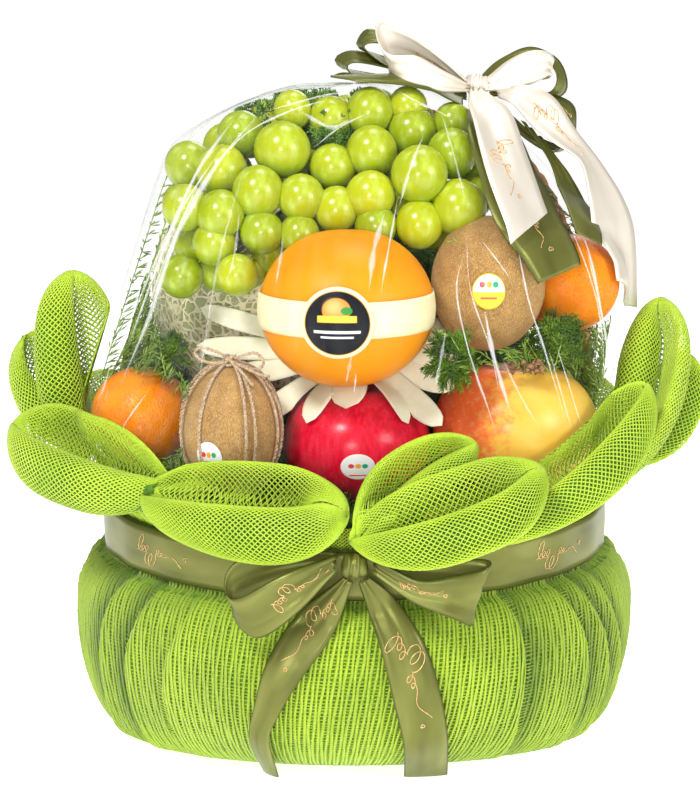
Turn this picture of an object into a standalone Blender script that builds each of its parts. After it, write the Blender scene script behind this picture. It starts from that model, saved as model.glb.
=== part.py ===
# Fruit gift basket: a low basket wrapped in a gathered net, tied at the waist with a satin ribbon, with
# the ends of the net standing round it as open folds. Whole fruit is heaped in the top under a clear film,
# and a bow in two ribbons is tied to the basket's handle over the film.
# Metres, +Z up. The origin is the centre of the flat underside, the front faces -Y and +X is to the right.
import math
import random

import bmesh
import bpy
from mathutils import Matrix, Vector
from mathutils.bvhtree import BVHTree

MM = 0.001
GAP = 0.0004  # left between neighbours
UP = Vector((0, 0, 1))

# The wrapped basket
BASE_HALF_WIDTH = 0.126
BASE_HALF_DEPTH = 0.096
BASE_SQUARENESS = 3.0  # exponent of the footprint's superellipse
BELLY_RADIUS = 0.1515
BELLY_HEIGHT = 0.058
WAIST_RADIUS = 0.134
WAIST_LOW = 0.094
WAIST_HIGH = 0.1195
WAIST_INSET = 0.003  # how far the pouch's flat top stands in from its wall
POUCH_SIDES = 60
PLEAT_SHALLOW = 0.45  # share of a pleat's depth left at the underside
PLEAT_GATHER = 0.12  # how far the pleats close in towards the front at the waist
# The collar of gathered net over the waist ribbon: (radius, height) down its outer side and up its inner one
COLLAR_PROFILE = [(0.1440, 0.1345), (0.1345, 0.1222), (0.1325, 0.1199), (0.1285, 0.1199), (0.1415, 0.1352)]
COLLAR_SIDES = 30
COLLAR_CLEAR_RADIUS = 0.1505  # the folds stay outside this up to COLLAR_CLEAR_HEIGHT
COLLAR_CLEAR_HEIGHT = 0.147
# Each pleat: its direction in degrees from the front, its depth and its half-width in degrees
PLEATS = [(-65, 5, 4), (-53, 5, 3.5), (-41, 2, 4), (37, 4, 4), (55, 4, 3.5), (64, 4, 3.5), (73, 3, 3.5),
          (-97, 3, 4), (-109, 4, 3.5), (98, 4, 4), (111, 4, 4), (124, 4, 3.5), (146, 4, 4), (163, 3, 4),
          (181, 4, 4), (-121, 4, 4), (-136, 4, 3.5), (-158, 4, 4)]

RIBBON_WIDTH = 0.025
RIBBON_THICKNESS = 0.0006
RIBBON_RISE = 0.0022  # the waist ribbon's lower edge over the bottom of the waist
WAIST_SIDES = 36
SATIN_ROUGHNESS = 0.35
BELLY_CLEARANCE = 0.0022  # a ribbon's middle off the pouch
FLOOR_CLEARANCE = 0.0006
FILM_CLEARANCE = {"film": 0.004, "film_high": 0.0085}
NET_THICKNESS = 0.0011
NECK_RADIUS = 0.124
NECK_HEIGHT = 0.1215

# Whole fruit: the centre and the half-sizes, in mm
FRUIT = {
    "melon": {"at": (-42, 24, 227), "half": (69, 69, 69), "sides": 18},
    "pear": {"at": (-4, -90, 235), "half": (44, 44, 40), "sides": 18},
    "apple": {"at": (1, -62, 160.5), "half": (38.3, 38, 33), "sides": 16},
    "mango": {"at": (83, -58, 168), "half": (43, 37, 35), "sides": 16},
    "kiwi_left": {"at": (-62, -92, 174), "half": (25.3, 25, 32.5), "sides": 14},
    "kiwi_right": {"at": (68, -62, 243), "half": (29.3, 28, 34.7), "sides": 14},
    "orange_left": {"at": (-110, -55, 173), "half": (26.5, 26.5, 25.5), "sides": 14},
    "orange_right": {"at": (112, -26, 238), "half": (27, 27, 26), "sides": 14},
}
FRUIT_ROUGHNESS = 0.5
DIMPLE_DEPTH = 0.22  # of the hollow round a stalk, as a share of the fruit's half height
DIMPLE_SPREAD = 0.07
# Stickers: the fruit, the way it faces from the fruit's centre, half-width and half-height in mm
STICKERS = {
    "apple_sticker": ("apple", (0.02, -1, -0.22), 8.2, 6.4),
    "kiwi_left_sticker": ("kiwi_left", (-0.52, -1, -0.55), 8, 10),
    "kiwi_right_sticker": ("kiwi_right", (-0.04, -1, 0.0), 9.5, 10.3),
}
STICKER_SIDES = 10
PAPER_THICKNESS = 0.0003
LABEL = {"facing": (-0.10, -1, -0.03), "radius": 17.4, "lift": 0.0008}
BAND_SIDES = 18
BAND_HALF_HEIGHT = 9  # of the paper belt on the pear, in mm
COLOURS = {
    "melon": (0.36, 0.36, 0.20), "pear": (1.0, 0.43, 0.02), "apple": (0.60, 0.005, 0.03),
    "mango": (0.92, 0.50, 0.04), "kiwi_left": (0.36, 0.20, 0.06), "kiwi_right": (0.36, 0.20, 0.06),
    "orange_left": (1.0, 0.22, 0.0), "orange_right": (1.0, 0.22, 0.0),
    "net": (0.28, 0.58, 0.03), "satin": (0.17, 0.19, 0.05), "cream": (0.92, 0.86, 0.74),
    "fern": (0.04, 0.16, 0.02), "grape": (0.50, 0.66, 0.04), "wicker": (0.22, 0.12, 0.05),
    "paper": (0.78, 0.78, 0.50), "sticker": (0.95, 0.90, 0.80), "twine": (0.50, 0.38, 0.22),
    "film": (0.95, 0.97, 0.98), "label": (0.02, 0.02, 0.03), "calyx": (0.16, 0.08, 0.03),
}

# Grapes by rows from the top front one down, then the ones behind: x, y, z and radius, in mm
GRAPES = [
    (-86, -22, 299, 12), (-59, -22, 315, 11.7), (-32, -22, 328, 9.3), (8, -22, 327, 11.7),
    (30, -22, 317, 12.2), (28, -20, 330, 9.3), (51, -22, 322, 9.3),
    (-68, -40, 298, 12.3), (-37, -40, 309, 13.8), (-11, -40, 300, 11.3), (9, -40, 308, 12.3),
    (50, -40, 307, 11.8),
    (-86, -56, 281, 11.2), (-49, -56, 289, 12.4), (-27, -56, 286, 11.4), (-9, -56, 280, 10.9),
    (8, -56, 287, 11.9), (33, -56, 298, 13.7), (53, -56, 281, 13.5),
    (-68, -60, 278, 11.7), (-47, -60, 269, 10.7), (-28, -60, 268, 9.7), (11, -60, 272, 10.2),
    (33, -60, 273, 11.4), (-71, -60, 263, 10.7),
    (-70, -50, 247, 9.5), (-54, -50, 248, 8.7), (-44, -50, 257, 9.2),
    (-68, 8, 306, 12), (-44, 4, 318, 12), (-18, 6, 322, 12), (12, 4, 324, 12),
    (-56, 32, 311, 12), (-30, 30, 318, 12), (-4, 32, 319, 12), (22, 30, 314, 12), (-16, 54, 308, 12),
]

GRAPE_SIDES = 6
GRAPE_CORE = 0.86  # how far out the core reaches between the berries' centres

# The paper star behind the pear
STAR_POINTS = 14
STAR_AXIS = Vector((-0.12, -0.80, 0.59)).normalized()
STAR_CENTRE = Vector((0.001, -0.053, 0.208))
STAR_INNER = 0.022
STAR_SIDE_REACH = 0.068
STAR_TOP_REACH = 0.042
STAR_LOW_REACH = 0.049
STAR_HALF_WIDTH = 0.0088
STAR_CUP = 1.5  # how strongly the points bend forward, per metre
STAR_CLEARANCE = 0.0027
STAR_THICKNESS = 0.0006

# The twine on the left kiwi: each turn's direction in degrees and how far it bends aside
TWINE_TURNS = [(24, 0.05), (84, 0.08), (144, -0.06)]
TWINE_STEPS = 14
TWINE_RADIUS = 0.0008
TWINE_LIFT = 0.0026
TWINE_KNOT = (3, 3, 3)  # half-sizes, in mm
TWINE_FOOT = (2.4, 2.4, 1.2)

# Greenery: centres and half-sizes, in mm
FERN_BED = {"disc_radius": 0.1175, "disc_top": 0.132,
            "mounds": [((24, 28, 125), (82, 74, 136)), ((-56, 30, 125), (52, 60, 122)),
                       ((-79, -42, 125), (27, 28, 28)), ((78, -38, 125), (28, 30, 24))]}
FERN_TUFTS = {
    "fern_right_front": ((49, -101, 212), (17, 9, 17)),
    "fern_right": ((104, -62, 214), (16, 10, 18)),
    "fern_left": ((-94, -64, 208), (11, 9, 13)),
    "fern_top": ((-12, -24, 316), (10, 7, 8)),
}
TUFT_CLEARANCE = 0.0012
CALYX = {"at": (86, -88, 204), "half": (11, 6, 5), "clearance": 0.0008}

# Net folds: root, tip, how far the middle bows out, the way the fold opens, half-width and depth, in mm
FOLDS = {
    "petal_front_left": {"root": (-100, -112, 141), "tip": (-10, -153, 142), "bow": (0, -26, 4),
                         "opens": (0.1, -0.45, 0.89), "half_width": 25, "depth": 26},
    "petal_left": {"root": (-96, -98, 152), "tip": (-173, -58, 167), "bow": (-4, -16, -2),
                   "opens": (0.1, -0.6, 0.8), "half_width": 24, "depth": 23},
    "petal_left_tall": {"root": (-143, -34, 148), "tip": (-151, -20, 238), "bow": (-6, -4, 0),
                        "opens": (0.55, -0.8, 0.1), "half_width": 20, "depth": 16},
    "petal_left_rear": {"root": (-146, 14, 148), "tip": (-180, 14, 200), "bow": (-8, 0, -4),
                        "opens": (0.3, -0.8, 0.5), "half_width": 17, "depth": 15},
    "petal_front_right": {"root": (4, -151, 131), "tip": (88, -148, 160), "bow": (4, -20, -2),
                          "opens": (-0.25, -0.45, 0.85), "half_width": 23, "depth": 23},
    "petal_front_inner": {"root": (6, -141, 153), "tip": (50, -126, 180), "bow": (-6, -4, 8),
                          "opens": (0.5, -0.5, 0.7), "half_width": 15, "depth": 13},
    "petal_right": {"root": (68, -126, 131), "tip": (146, -72, 188), "bow": (10, -14, -6),
                    "opens": (-0.5, -0.55, 0.67), "half_width": 20, "depth": 19},
    "petal_right_tall": {"root": (136, -50, 142), "tip": (163, -14, 223), "bow": (8, -6, 0),
                         "opens": (-0.6, -0.7, 0.3), "half_width": 20, "depth": 17},
    "petal_right_rear": {"root": (152, 14, 134), "tip": (181, 8, 190), "bow": (6, 0, -4),
                         "opens": (-0.4, -0.8, 0.4), "half_width": 16, "depth": 15},
}
REAR_FOLD_AZIMUTHS = [118, 149, 180, 211, 242]
# The rear folds: radius, turn from the fold's azimuth and height of each end, and the rest as above
REAR_FOLD = {"root": (0.146, -13, 0.143), "tip": (0.164, 14, 0.168), "bow": 0.014, "opens_out": 0.5,
             "opens_up": 0.85, "half_width": 0.022, "depth": 0.023}
FOLD_END_WIDTH = 0.2  # share of its full section that a fold keeps at its ends
FOLD_FILM_GAP = 0.005
FOLD_LOW_ANGLE = math.radians(105)  # how far the lower wall curls round
FOLD_HIGH_ANGLE = math.radians(125)
FOLD_COLUMNS = 6
FOLD_ROWS = 5

# Ribbons: the two long edges of each, point by point, what it lies on and in which satin, in mm
RIBBONS = {
    "waist_loop_left": {"satin": "satin", "over": "belly", "steps": 10, "edges": [
        [(-9, -145, 122), (-32, -144, 119), (-56, -140, 113), (-63, -147, 104), (-58, -158, 100),
         (-34, -160, 114), (-9, -153, 122)],
        [(-9, -145, 117), (-32, -145, 107), (-55, -144, 99), (-58, -152, 90), (-44, -160, 85),
         (-26, -160, 99), (-9, -153, 116)]]},
    "waist_loop_right": {"satin": "satin", "over": "belly", "steps": 10, "edges": [
        [(9, -153, 120), (30, -154, 109), (48, -154, 112), (62, -152, 114), (62, -145, 112),
         (40, -143, 111), (9, -145, 121)],
        [(9, -153, 115), (28, -158, 102), (46, -160, 95), (56, -155, 89), (54, -148, 90),
         (34, -146, 99), (9, -146, 115)]]},
    "waist_tail_left": {"satin": "satin", "over": "belly", "steps": 8, "edges": [
        [(-5, -148, 112), (-27, -141, 92), (-42, -148, 71), (-49, -146, 47), (-52, -138, 26), (-46, -114, 1)],
        [(-1, -150, 110), (-10, -148, 84), (-27, -152, 60), (-37, -149, 42), (-42, -142, 27),
         (-38, -123, 1)]]},
    "waist_tail_right": {"satin": "satin", "over": "belly", "steps": 8, "edges": [
        [(2, -150, 110), (7, -144, 92), (13, -152, 75), (19, -153, 50), (24, -147, 26), (25, -122, 1)],
        [(7, -149, 112), (20, -142, 99), (34, -148, 79), (42, -149, 54), (46, -144, 30), (47, -119, 1)]]},
    "cream_loop_left": {"satin": "cream", "over": "film", "steps": 12, "edges": [
        [(56, -14, 346), (45, -15, 357), (28, -16, 368), (13, -18, 373), (11, -24, 366), (17, -29, 357),
         (32, -31, 358), (47, -27, 351), (56, -20, 345)],
        [(56, -8, 341), (44, -8, 348), (30, -6, 352), (20, -9, 350), (20, -18, 345), (25, -27, 343),
         (33, -30, 341), (46, -27, 339), (56, -20, 340)]]},
    "cream_loop_right": {"satin": "cream", "over": "film", "steps": 9, "edges": [
        [(73, -8, 346), (84, -12, 356), (99, -12, 360), (105, -8, 353), (98, -1, 353), (84, 1, 352),
         (73, -3, 348)],
        [(73, -14, 342), (84, -18, 342), (97, -16, 343), (102, -9, 340), (95, 1, 342), (84, 2, 343),
         (73, -2, 343)]]},
    "cream_tail_front": {"satin": "cream", "over": "film_high", "steps": 7, "edges": [
        [(59, -20, 332), (57, -57, 320), (66, -76, 293), (76, -95, 265)],
        [(70, -20, 330), (83, -38, 321), (89, -50, 308), (98, -72, 279)]]},
    "cream_tail_right": {"satin": "cream", "over": "film", "steps": 12, "edges": [
        [(74, -15, 338), (87, -20, 341), (103, -22, 335), (116, -18, 317), (130, -15, 299), (142, -14, 280),
         (148, -14, 261), (150, -14, 223)],
        [(75, -20, 334), (82, -28, 331), (92, -30, 320), (104, -26, 312), (119, -20, 303), (125, -20, 289),
         (128, -22, 270), (127, -30, 234)]]},
    "olive_loop_top": {"satin": "satin", "over": "film", "steps": 9, "edges": [
        [(60, 1, 349), (34, 3, 362), (13, 4, 370), (1, 4, 368), (2, 4, 362), (26, 4, 358), (60, 1, 346)],
        [(60, 8, 352), (34, 18, 369), (13, 20, 375), (1, 20, 373), (3, 19, 367), (27, 18, 365),
         (60, 8, 349)]]},
    "olive_loop_left": {"satin": "satin", "over": "film", "steps": 9, "edges": [
        [(60, 1, 341), (30, 3, 349), (6, 4, 357), (-8, 4, 355), (-9, 4, 348), (20, 4, 345), (60, 2, 338)],
        [(60, 8, 344), (30, 18, 357), (6, 20, 363), (-8, 20, 361), (-8, 19, 354), (20, 18, 352),
         (60, 8, 341)]]},
    "olive_band": {"satin": "satin", "over": "film", "steps": 5, "edges": [
        [(52, -28, 334), (34, -36, 339), (5, -34, 344), (-13, -24, 346)],
        [(52, -12, 342), (34, -14, 345), (5, -12, 348), (-14, -8, 349)]]},
    "olive_loop_right": {"satin": "satin", "over": "film", "steps": 9, "edges": [
        [(73, 3, 346), (85, 6, 355), (103, 6, 357), (112, 6, 347), (107, 6, 337), (92, 6, 335), (75, 4, 341)],
        [(73, 8, 349), (85, 18, 363), (103, 19, 364), (112, 18, 354), (107, 17, 344), (92, 16, 342),
         (75, 8, 344)]]},
    "olive_loop_low": {"satin": "satin", "over": "film", "steps": 9, "edges": [
        [(75, -1, 337), (91, -4, 331), (110, -4, 325), (116, -4, 316), (109, -3, 307), (94, -2, 317),
         (77, -3, 331)],
        [(75, 5, 338), (91, 12, 333), (110, 12, 328), (116, 12, 319), (109, 11, 310), (94, 9, 320),
         (77, 3, 333)]]},
    "olive_tail_front": {"satin": "satin", "over": "film", "steps": 7, "edges": [
        [(58, -24, 327), (57, -50, 319), (61, -65, 300), (71, -86, 272), (91, -88, 246)],
        [(70, -24, 325), (84, -24, 317), (96, -40, 290), (106, -57, 268), (114, -64, 252)]]},
    "olive_tail_right": {"satin": "satin", "over": "film", "steps": 6, "edges": [
        [(87, -14, 322), (102, -16, 300), (107, -39, 280), (111, -53, 266)],
        [(99, -12, 309), (112, -12, 295), (122, -18, 276), (126, -46, 259)]]},
}

KNOTS = {"waist_knot": ((0, -149, 117.5), (6.5, 5.5, 6.2), "satin"),
         "bow_knot": ((64, -11, 344), (6.5, 5.5, 5.5), "cream")}

# The handle's arch, and the places where the stiff film stands clear of the fruit, in mm
HANDLE_ROUTE = [(-80, 82, 123), (-96, 86, 170), (-98, 81, 225), (-86, 67, 275), (-58, 36, 309),
                (-20, 12, 324), (20, 8, 325), (62, 8, 316), (91, 8, 297), (111, 8, 264), (122, 8, 222),
                (125, 8, 175), (112, 8, 123)]
HANDLE_RADIUS = 0.005
HANDLE_STEPS = 22
HANDLE_CLEARANCE = 0.0006
FILM_SHOULDERS = [(-134, 0, 178), (-120, 0, 225), (-104, 0, 260), (-93, 0, 284), (-78, 0, 310),
                  (-58, 0, 326), (134, 0, 190), (128, 0, 230), (114, 0, 272), (60, 70, 290),
                  (-70, 80, 270), (0, 95, 250)]
FILM_SIDES = 24  # corners of the film's neck
FILM_MERGE = 0.005  # the film's corners are at least this far apart
FILM_MARGIN = 0.0038
FILM_THICKNESS = 0.0003


def mm(*values):
    """A point given in millimetres."""
    return Vector([value * MM for value in values])


def polar(radius, degrees, height):
    """A point at an azimuth counted from the front, -Y, towards +X."""
    angle = math.radians(degrees)
    return Vector((radius * math.sin(angle), -radius * math.cos(angle), height))


def clear_scene():
    for old in list(bpy.data.objects):
        bpy.data.objects.remove(old, do_unlink=True)


def new_collection(name):
    collection = bpy.data.collections.new(name)
    bpy.context.scene.collection.children.link(collection)
    return collection


def material(name, colour_name, roughness):
    """One material for each object, named after it."""
    surface = bpy.data.materials.new(name)
    surface.use_nodes = True
    shader = surface.node_tree.nodes["Principled BSDF"]
    shader.inputs["Base Color"].default_value = (*COLOURS[colour_name], 1)
    shader.inputs["Roughness"].default_value = roughness
    return surface


def add_object(name, bm, colour_name, roughness=0.6):
    """Turns a bmesh into a named, smooth-shaded object of the basket."""
    mesh = bpy.data.meshes.new(name)
    bmesh.ops.recalc_face_normals(bm, faces=bm.faces)
    bm.to_mesh(mesh)
    bm.free()
    mesh.shade_smooth()
    piece = bpy.data.objects.new(name, mesh)
    basket.objects.link(piece)
    piece.data.materials.append(material(name, colour_name, roughness))
    return piece


def evaluated_bmesh(piece):
    """The piece as its modifiers leave it, in world space."""
    bpy.context.view_layer.update()
    evaluated = piece.evaluated_get(bpy.context.evaluated_depsgraph_get())
    mesh = bpy.data.meshes.new_from_object(evaluated)
    bm = bmesh.new()
    bm.from_mesh(mesh)
    bpy.data.meshes.remove(mesh)
    bm.transform(piece.matrix_world)
    return bm


def bake(piece):
    """Applies the piece's modifiers, or turns a curve into a mesh with its caps welded on."""
    bm = evaluated_bmesh(piece)
    bmesh.ops.remove_doubles(bm, verts=bm.verts, dist=0.00001)
    name, materials, collections = piece.name, list(piece.data.materials), list(piece.users_collection)
    bpy.data.objects.remove(piece, do_unlink=True)
    mesh = bpy.data.meshes.new(name)
    bm.to_mesh(mesh)
    bm.free()
    mesh.shade_smooth()
    solid = bpy.data.objects.new(name, mesh)
    for surface in materials:
        mesh.materials.append(surface)
    for collection in collections:
        collection.objects.link(solid)
    return solid


def turned(name, profile, sides, colour_name, roughness=0.8):
    """A profile of (radius, height), given from top to bottom down its outer side, turned about Z."""
    bm = bmesh.new()
    corners = [bm.verts.new((radius, 0, height)) for radius, height in profile]
    for upper, lower in zip(corners, corners[1:]):
        bm.edges.new((upper, lower))
    if profile[0][0] > 0:
        bm.edges.new((corners[-1], corners[0]))
    mesh = bpy.data.meshes.new(name)
    bm.to_mesh(mesh)
    bm.free()
    piece = bpy.data.objects.new(name, mesh)
    basket.objects.link(piece)
    mesh.materials.append(material(name, colour_name, roughness))
    screw = piece.modifiers.new("Turn", "SCREW")
    screw.steps = sides
    screw.render_steps = sides
    screw.use_merge_vertices = True
    screw.merge_threshold = 0.0001
    screw.use_smooth_shade = True
    return piece


def solidify(piece, thickness, offset=0.0):
    wall = piece.modifiers.new("Thickness", "SOLIDIFY")
    wall.thickness = thickness
    wall.offset = offset
    return piece


def sheet(name, grid, thickness, colour_name, roughness=0.7, offset=0.0, wrap=False):
    """An open surface through a grid of points, given a thickness."""
    bm = bmesh.new()
    rows = [[bm.verts.new(point) for point in row] for row in grid]
    if wrap:
        rows.append(rows[0])
    for row, after in zip(rows, rows[1:]):
        for k in range(len(row) - 1):
            bm.faces.new((row[k], after[k], after[k + 1], row[k + 1]))
    return solidify(add_object(name, bm, colour_name, roughness), thickness, offset)


def spline(points, steps):
    """A smooth curve through the points (Catmull-Rom), read at steps + 1 places."""
    ends = [points[0] * 2 - points[1], *points, points[-1] * 2 - points[-2]]
    found = []
    for k in range(steps + 1):
        place = min(k / steps * (len(points) - 1), len(points) - 1 - 1e-6)
        i = int(place)
        t = place - i
        a, b, c, d = ends[i:i + 4]
        found.append(0.5 * (2 * b + (c - a) * t + (2 * a - 5 * b + 4 * c - d) * t ** 2
                            + (3 * b - a - 3 * c + d) * t ** 3))
    return found


def tube(name, points, radius, colour_name, sides=2, cyclic=False):
    """A round bar along a route."""
    curve = bpy.data.curves.new(name, "CURVE")
    curve.dimensions = "3D"
    curve.bevel_depth = radius
    curve.bevel_resolution = sides
    curve.use_fill_caps = True
    line = curve.splines.new("POLY")
    line.points.add(len(points) - 1)
    for place, point in zip(line.points, points):
        place.co = (*point, 1)
    line.use_cyclic_u = cyclic
    piece = bpy.data.objects.new(name, curve)
    basket.objects.link(piece)
    curve.materials.append(material(name, colour_name, 0.8))
    return bake(piece)


# ---- The wrapped basket ----
def base_radius(azimuth):
    """The squarish footprint: its radius at an azimuth in radians from the front."""
    across = abs(math.sin(azimuth)) / BASE_HALF_WIDTH
    along = abs(math.cos(azimuth)) / BASE_HALF_DEPTH
    return (across ** BASE_SQUARENESS + along ** BASE_SQUARENESS) ** (-1 / BASE_SQUARENESS)


def pleat_depth(azimuth, height):
    """How far the net's pleats pull in. They close in towards the centre line at the waist."""
    rise = max(0.0, min(1.0, height / WAIST_LOW))
    total = 0.0
    for direction, depth, half_width in PLEATS:
        centre = direction * (1 - PLEAT_GATHER * rise ** 2)
        turn = (math.degrees(azimuth) - centre + 180) % 360 - 180
        total += depth * MM * math.exp(-(turn / half_width) ** 2)
    fullness = math.sin(math.pi * min(1.0, height / BELLY_HEIGHT / 1.6))
    return total * (PLEAT_SHALLOW + (1 - PLEAT_SHALLOW) * fullness)


def pouch_radius(azimuth, height):
    """The net's outer surface at an azimuth in radians and a height."""
    if height < BELLY_HEIGHT:
        rise = 1 - height / BELLY_HEIGHT
        base = base_radius(azimuth)
        radius = base + (BELLY_RADIUS - base) * math.sqrt(1 - rise ** 2)
    else:
        rise = min(1.0, (height - BELLY_HEIGHT) / (WAIST_LOW - BELLY_HEIGHT))
        radius = WAIST_RADIUS + (BELLY_RADIUS - WAIST_RADIUS) * math.sqrt(1 - rise ** 2)
    return radius - pleat_depth(azimuth, height)


def make_pouch():
    heights = [0.1175, 0.0955, 0.090, 0.076, 0.058, 0.036, 0.017, 0.005, 0]
    profile = [(0, WAIST_HIGH), (WAIST_RADIUS - WAIST_INSET, WAIST_HIGH)]
    profile += [(WAIST_RADIUS, height) for height in heights]
    piece = bake(turned("pouch", profile + [(0, 0)], POUCH_SIDES, "net"))
    for vertex in piece.data.vertices:
        x, y, z = vertex.co
        radius = math.hypot(x, y)
        if radius > BASE_HALF_DEPTH / 2 and z < WAIST_HIGH - GAP:
            azimuth = math.atan2(x, -y)
            scale = pouch_radius(azimuth, z) / radius
            vertex.co = (x * scale, y * scale, z)


def make_collar():
    """The gathered net between the waist ribbon and the folds."""
    turned("net_collar", COLLAR_PROFILE, COLLAR_SIDES, "net")


def make_waist_ribbon():
    low = WAIST_LOW + RIBBON_RISE
    inner = WAIST_RADIUS + 2 * GAP
    outer = inner + RIBBON_THICKNESS
    profile = [(outer, low + RIBBON_WIDTH), (outer, low), (inner, low), (inner, low + RIBBON_WIDTH)]
    turned("waist_ribbon", profile, WAIST_SIDES, "satin", SATIN_ROUGHNESS)


# ---- The net's folds ----
def fold_grid(root, tip, bow, opens, half_width, depth, columns, rows):
    """A trough from root to tip: a U-shaped section that swells in the middle and closes at both ends."""
    middle = (root + tip) / 2 + bow
    along = (tip - root).normalized()
    opening = (opens - opens.dot(along) * along).normalized()
    across = along.cross(opening)
    if across.z > 0:
        across = -across
    grid = []
    for i in range(columns + 1):
        s = i / columns
        centre = (1 - s) ** 2 * root + 2 * s * (1 - s) * middle + s ** 2 * tip
        full = math.sin(math.pi * (0.04 + 0.92 * s) ** 0.85) ** 0.7
        swell = FOLD_END_WIDTH + (1 - FOLD_END_WIDTH) * full
        row = []
        for j in range(rows + 1):
            angle = FOLD_LOW_ANGLE - (FOLD_LOW_ANGLE + FOLD_HIGH_ANGLE) * j / rows
            offset = across * half_width * math.sin(angle) - opening * depth * math.cos(angle)
            row.append(centre + offset * swell)
        grid.append(row)
    return grid


def make_folds(film):
    for name, fold in FOLDS.items():
        grid = fold_grid(mm(*fold["root"]), mm(*fold["tip"]), mm(*fold["bow"]), Vector(fold["opens"]),
                         fold["half_width"] * MM, fold["depth"] * MM, FOLD_COLUMNS, FOLD_ROWS)
        add_fold(name, grid, film)
    for number, azimuth in enumerate(REAR_FOLD_AZIMUTHS, 1):
        outward = polar(1, azimuth, 0)
        root, tip = [polar(radius, azimuth + turn, height)
                     for radius, turn, height in (REAR_FOLD["root"], REAR_FOLD["tip"])]
        opens = outward * REAR_FOLD["opens_out"] + UP * REAR_FOLD["opens_up"]
        grid = fold_grid(root, tip, outward * REAR_FOLD["bow"], opens,
                         REAR_FOLD["half_width"], REAR_FOLD["depth"], FOLD_COLUMNS, FOLD_ROWS)
        add_fold("petal_rear_%d" % number, grid, film)


def add_fold(name, grid, film):
    clear = [[film.outside(outside_collar(point), FOLD_FILM_GAP) for point in row] for row in grid]
    sheet(name, clear, NET_THICKNESS, "net", 0.8)


def outside_collar(point):
    """Keeps a fold off the ribbon, the collar and the belly below it."""
    x, y, z = point
    radius = math.hypot(x, y)
    reach = COLLAR_CLEAR_RADIUS if z < COLLAR_CLEAR_HEIGHT else 0.0
    if z < WAIST_HIGH:
        reach = max(reach, pouch_radius(math.atan2(x, -y), z) + BELLY_CLEARANCE)
    if radius >= reach:
        return point
    return Vector((x * reach / radius, y * reach / radius, z))


# ---- Fruit ----
def ellipsoid(name, centre, half, sides, colour_name, roughness=FRUIT_ROUGHNESS, grow=0.0):
    bm = bmesh.new()
    bmesh.ops.create_uvsphere(bm, u_segments=sides, v_segments=sides // 2 + 1, radius=1)
    size = mm(*half) + Vector((grow, grow, grow))
    bm.transform(Matrix.Translation(mm(*centre)) @ Matrix.Diagonal((*size, 1)))
    return add_object(name, bm, colour_name, roughness)


def make_fruit():
    for name, fruit in FRUIT.items():
        piece = ellipsoid(name, fruit["at"], fruit["half"], fruit["sides"], name)
        if name in ("apple", "mango"):
            dimple(piece, fruit)


def dimple(piece, fruit):
    """The hollow round the stalk at the top."""
    centre = mm(*fruit["at"])
    half = mm(*fruit["half"])
    for vertex in piece.data.vertices:
        x = (vertex.co.x - centre.x) / half.x
        y = (vertex.co.y - centre.y) / half.y
        if vertex.co.z > centre.z:
            vertex.co.z -= DIMPLE_DEPTH * half.z * math.exp(-(x * x + y * y) / DIMPLE_SPREAD)


def fruit_surface(name, direction, lift):
    """The point of a fruit's surface in a direction from its centre, lifted off it."""
    half = mm(*FRUIT[name]["half"])
    scaled = Vector([d / h for d, h in zip(direction, half)])
    return mm(*FRUIT[name]["at"]) + direction / scaled.length + direction.normalized() * lift


def off_fruit(point, name, gap):
    """Moves a point out of a fruit, to a gap over its surface."""
    centre = mm(*FRUIT[name]["at"])
    surface = fruit_surface(name, point - centre, gap)
    inside = (point - centre).length < (surface - centre).length
    return surface if inside else point


def make_sticker(name, fruit, facing, half_width, half_height, colour_name="sticker"):
    """A round sticker that follows the fruit's curve: rings about its centre."""
    facing = Vector(facing).normalized()
    right = UP.cross(facing).normalized()
    above = facing.cross(right)
    reach = max(FRUIT[fruit]["half"]) * MM
    bm = bmesh.new()
    middle = bm.verts.new(fruit_surface(fruit, facing, GAP))
    rings = []
    for share in (0.5, 1.0):
        ring = []
        for k in range(STICKER_SIDES):
            angle = math.tau * k / STICKER_SIDES
            side = right * math.cos(angle) * half_width * MM * share
            lift = above * math.sin(angle) * half_height * MM * share
            ring.append(bm.verts.new(fruit_surface(fruit, facing * reach + side + lift, GAP)))
        rings.append(ring)
    for k in range(STICKER_SIDES):
        after = (k + 1) % STICKER_SIDES
        bm.faces.new((middle, rings[0][k], rings[0][after]))
        bm.faces.new((rings[0][k], rings[1][k], rings[1][after], rings[0][after]))
    piece = add_object(name, bm, colour_name, 0.35)
    return solidify(piece, PAPER_THICKNESS, 1.0)


def make_pear_band():
    """The paper belt round the pear."""
    grid = []
    for k in range(BAND_SIDES):
        angle = math.tau * (k + 0.5) / BAND_SIDES
        row = []
        for height in (-BAND_HALF_HEIGHT, 0, BAND_HALF_HEIGHT):
            out = Vector((math.cos(angle), math.sin(angle), height / FRUIT["pear"]["half"][0]))
            row.append(fruit_surface("pear", out, GAP))
        grid.append(row)
    sheet("pear_band", grid, PAPER_THICKNESS, "paper", offset=1.0, wrap=True)


def make_pear_label():
    """The round label on the belt, standing just off it."""
    label = make_sticker("pear_label", "pear", LABEL["facing"], LABEL["radius"], LABEL["radius"], "label")
    for vertex in label.data.vertices:
        away = vertex.co - mm(*FRUIT["pear"]["at"])
        vertex.co = vertex.co + away.normalized() * LABEL["lift"]


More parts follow.
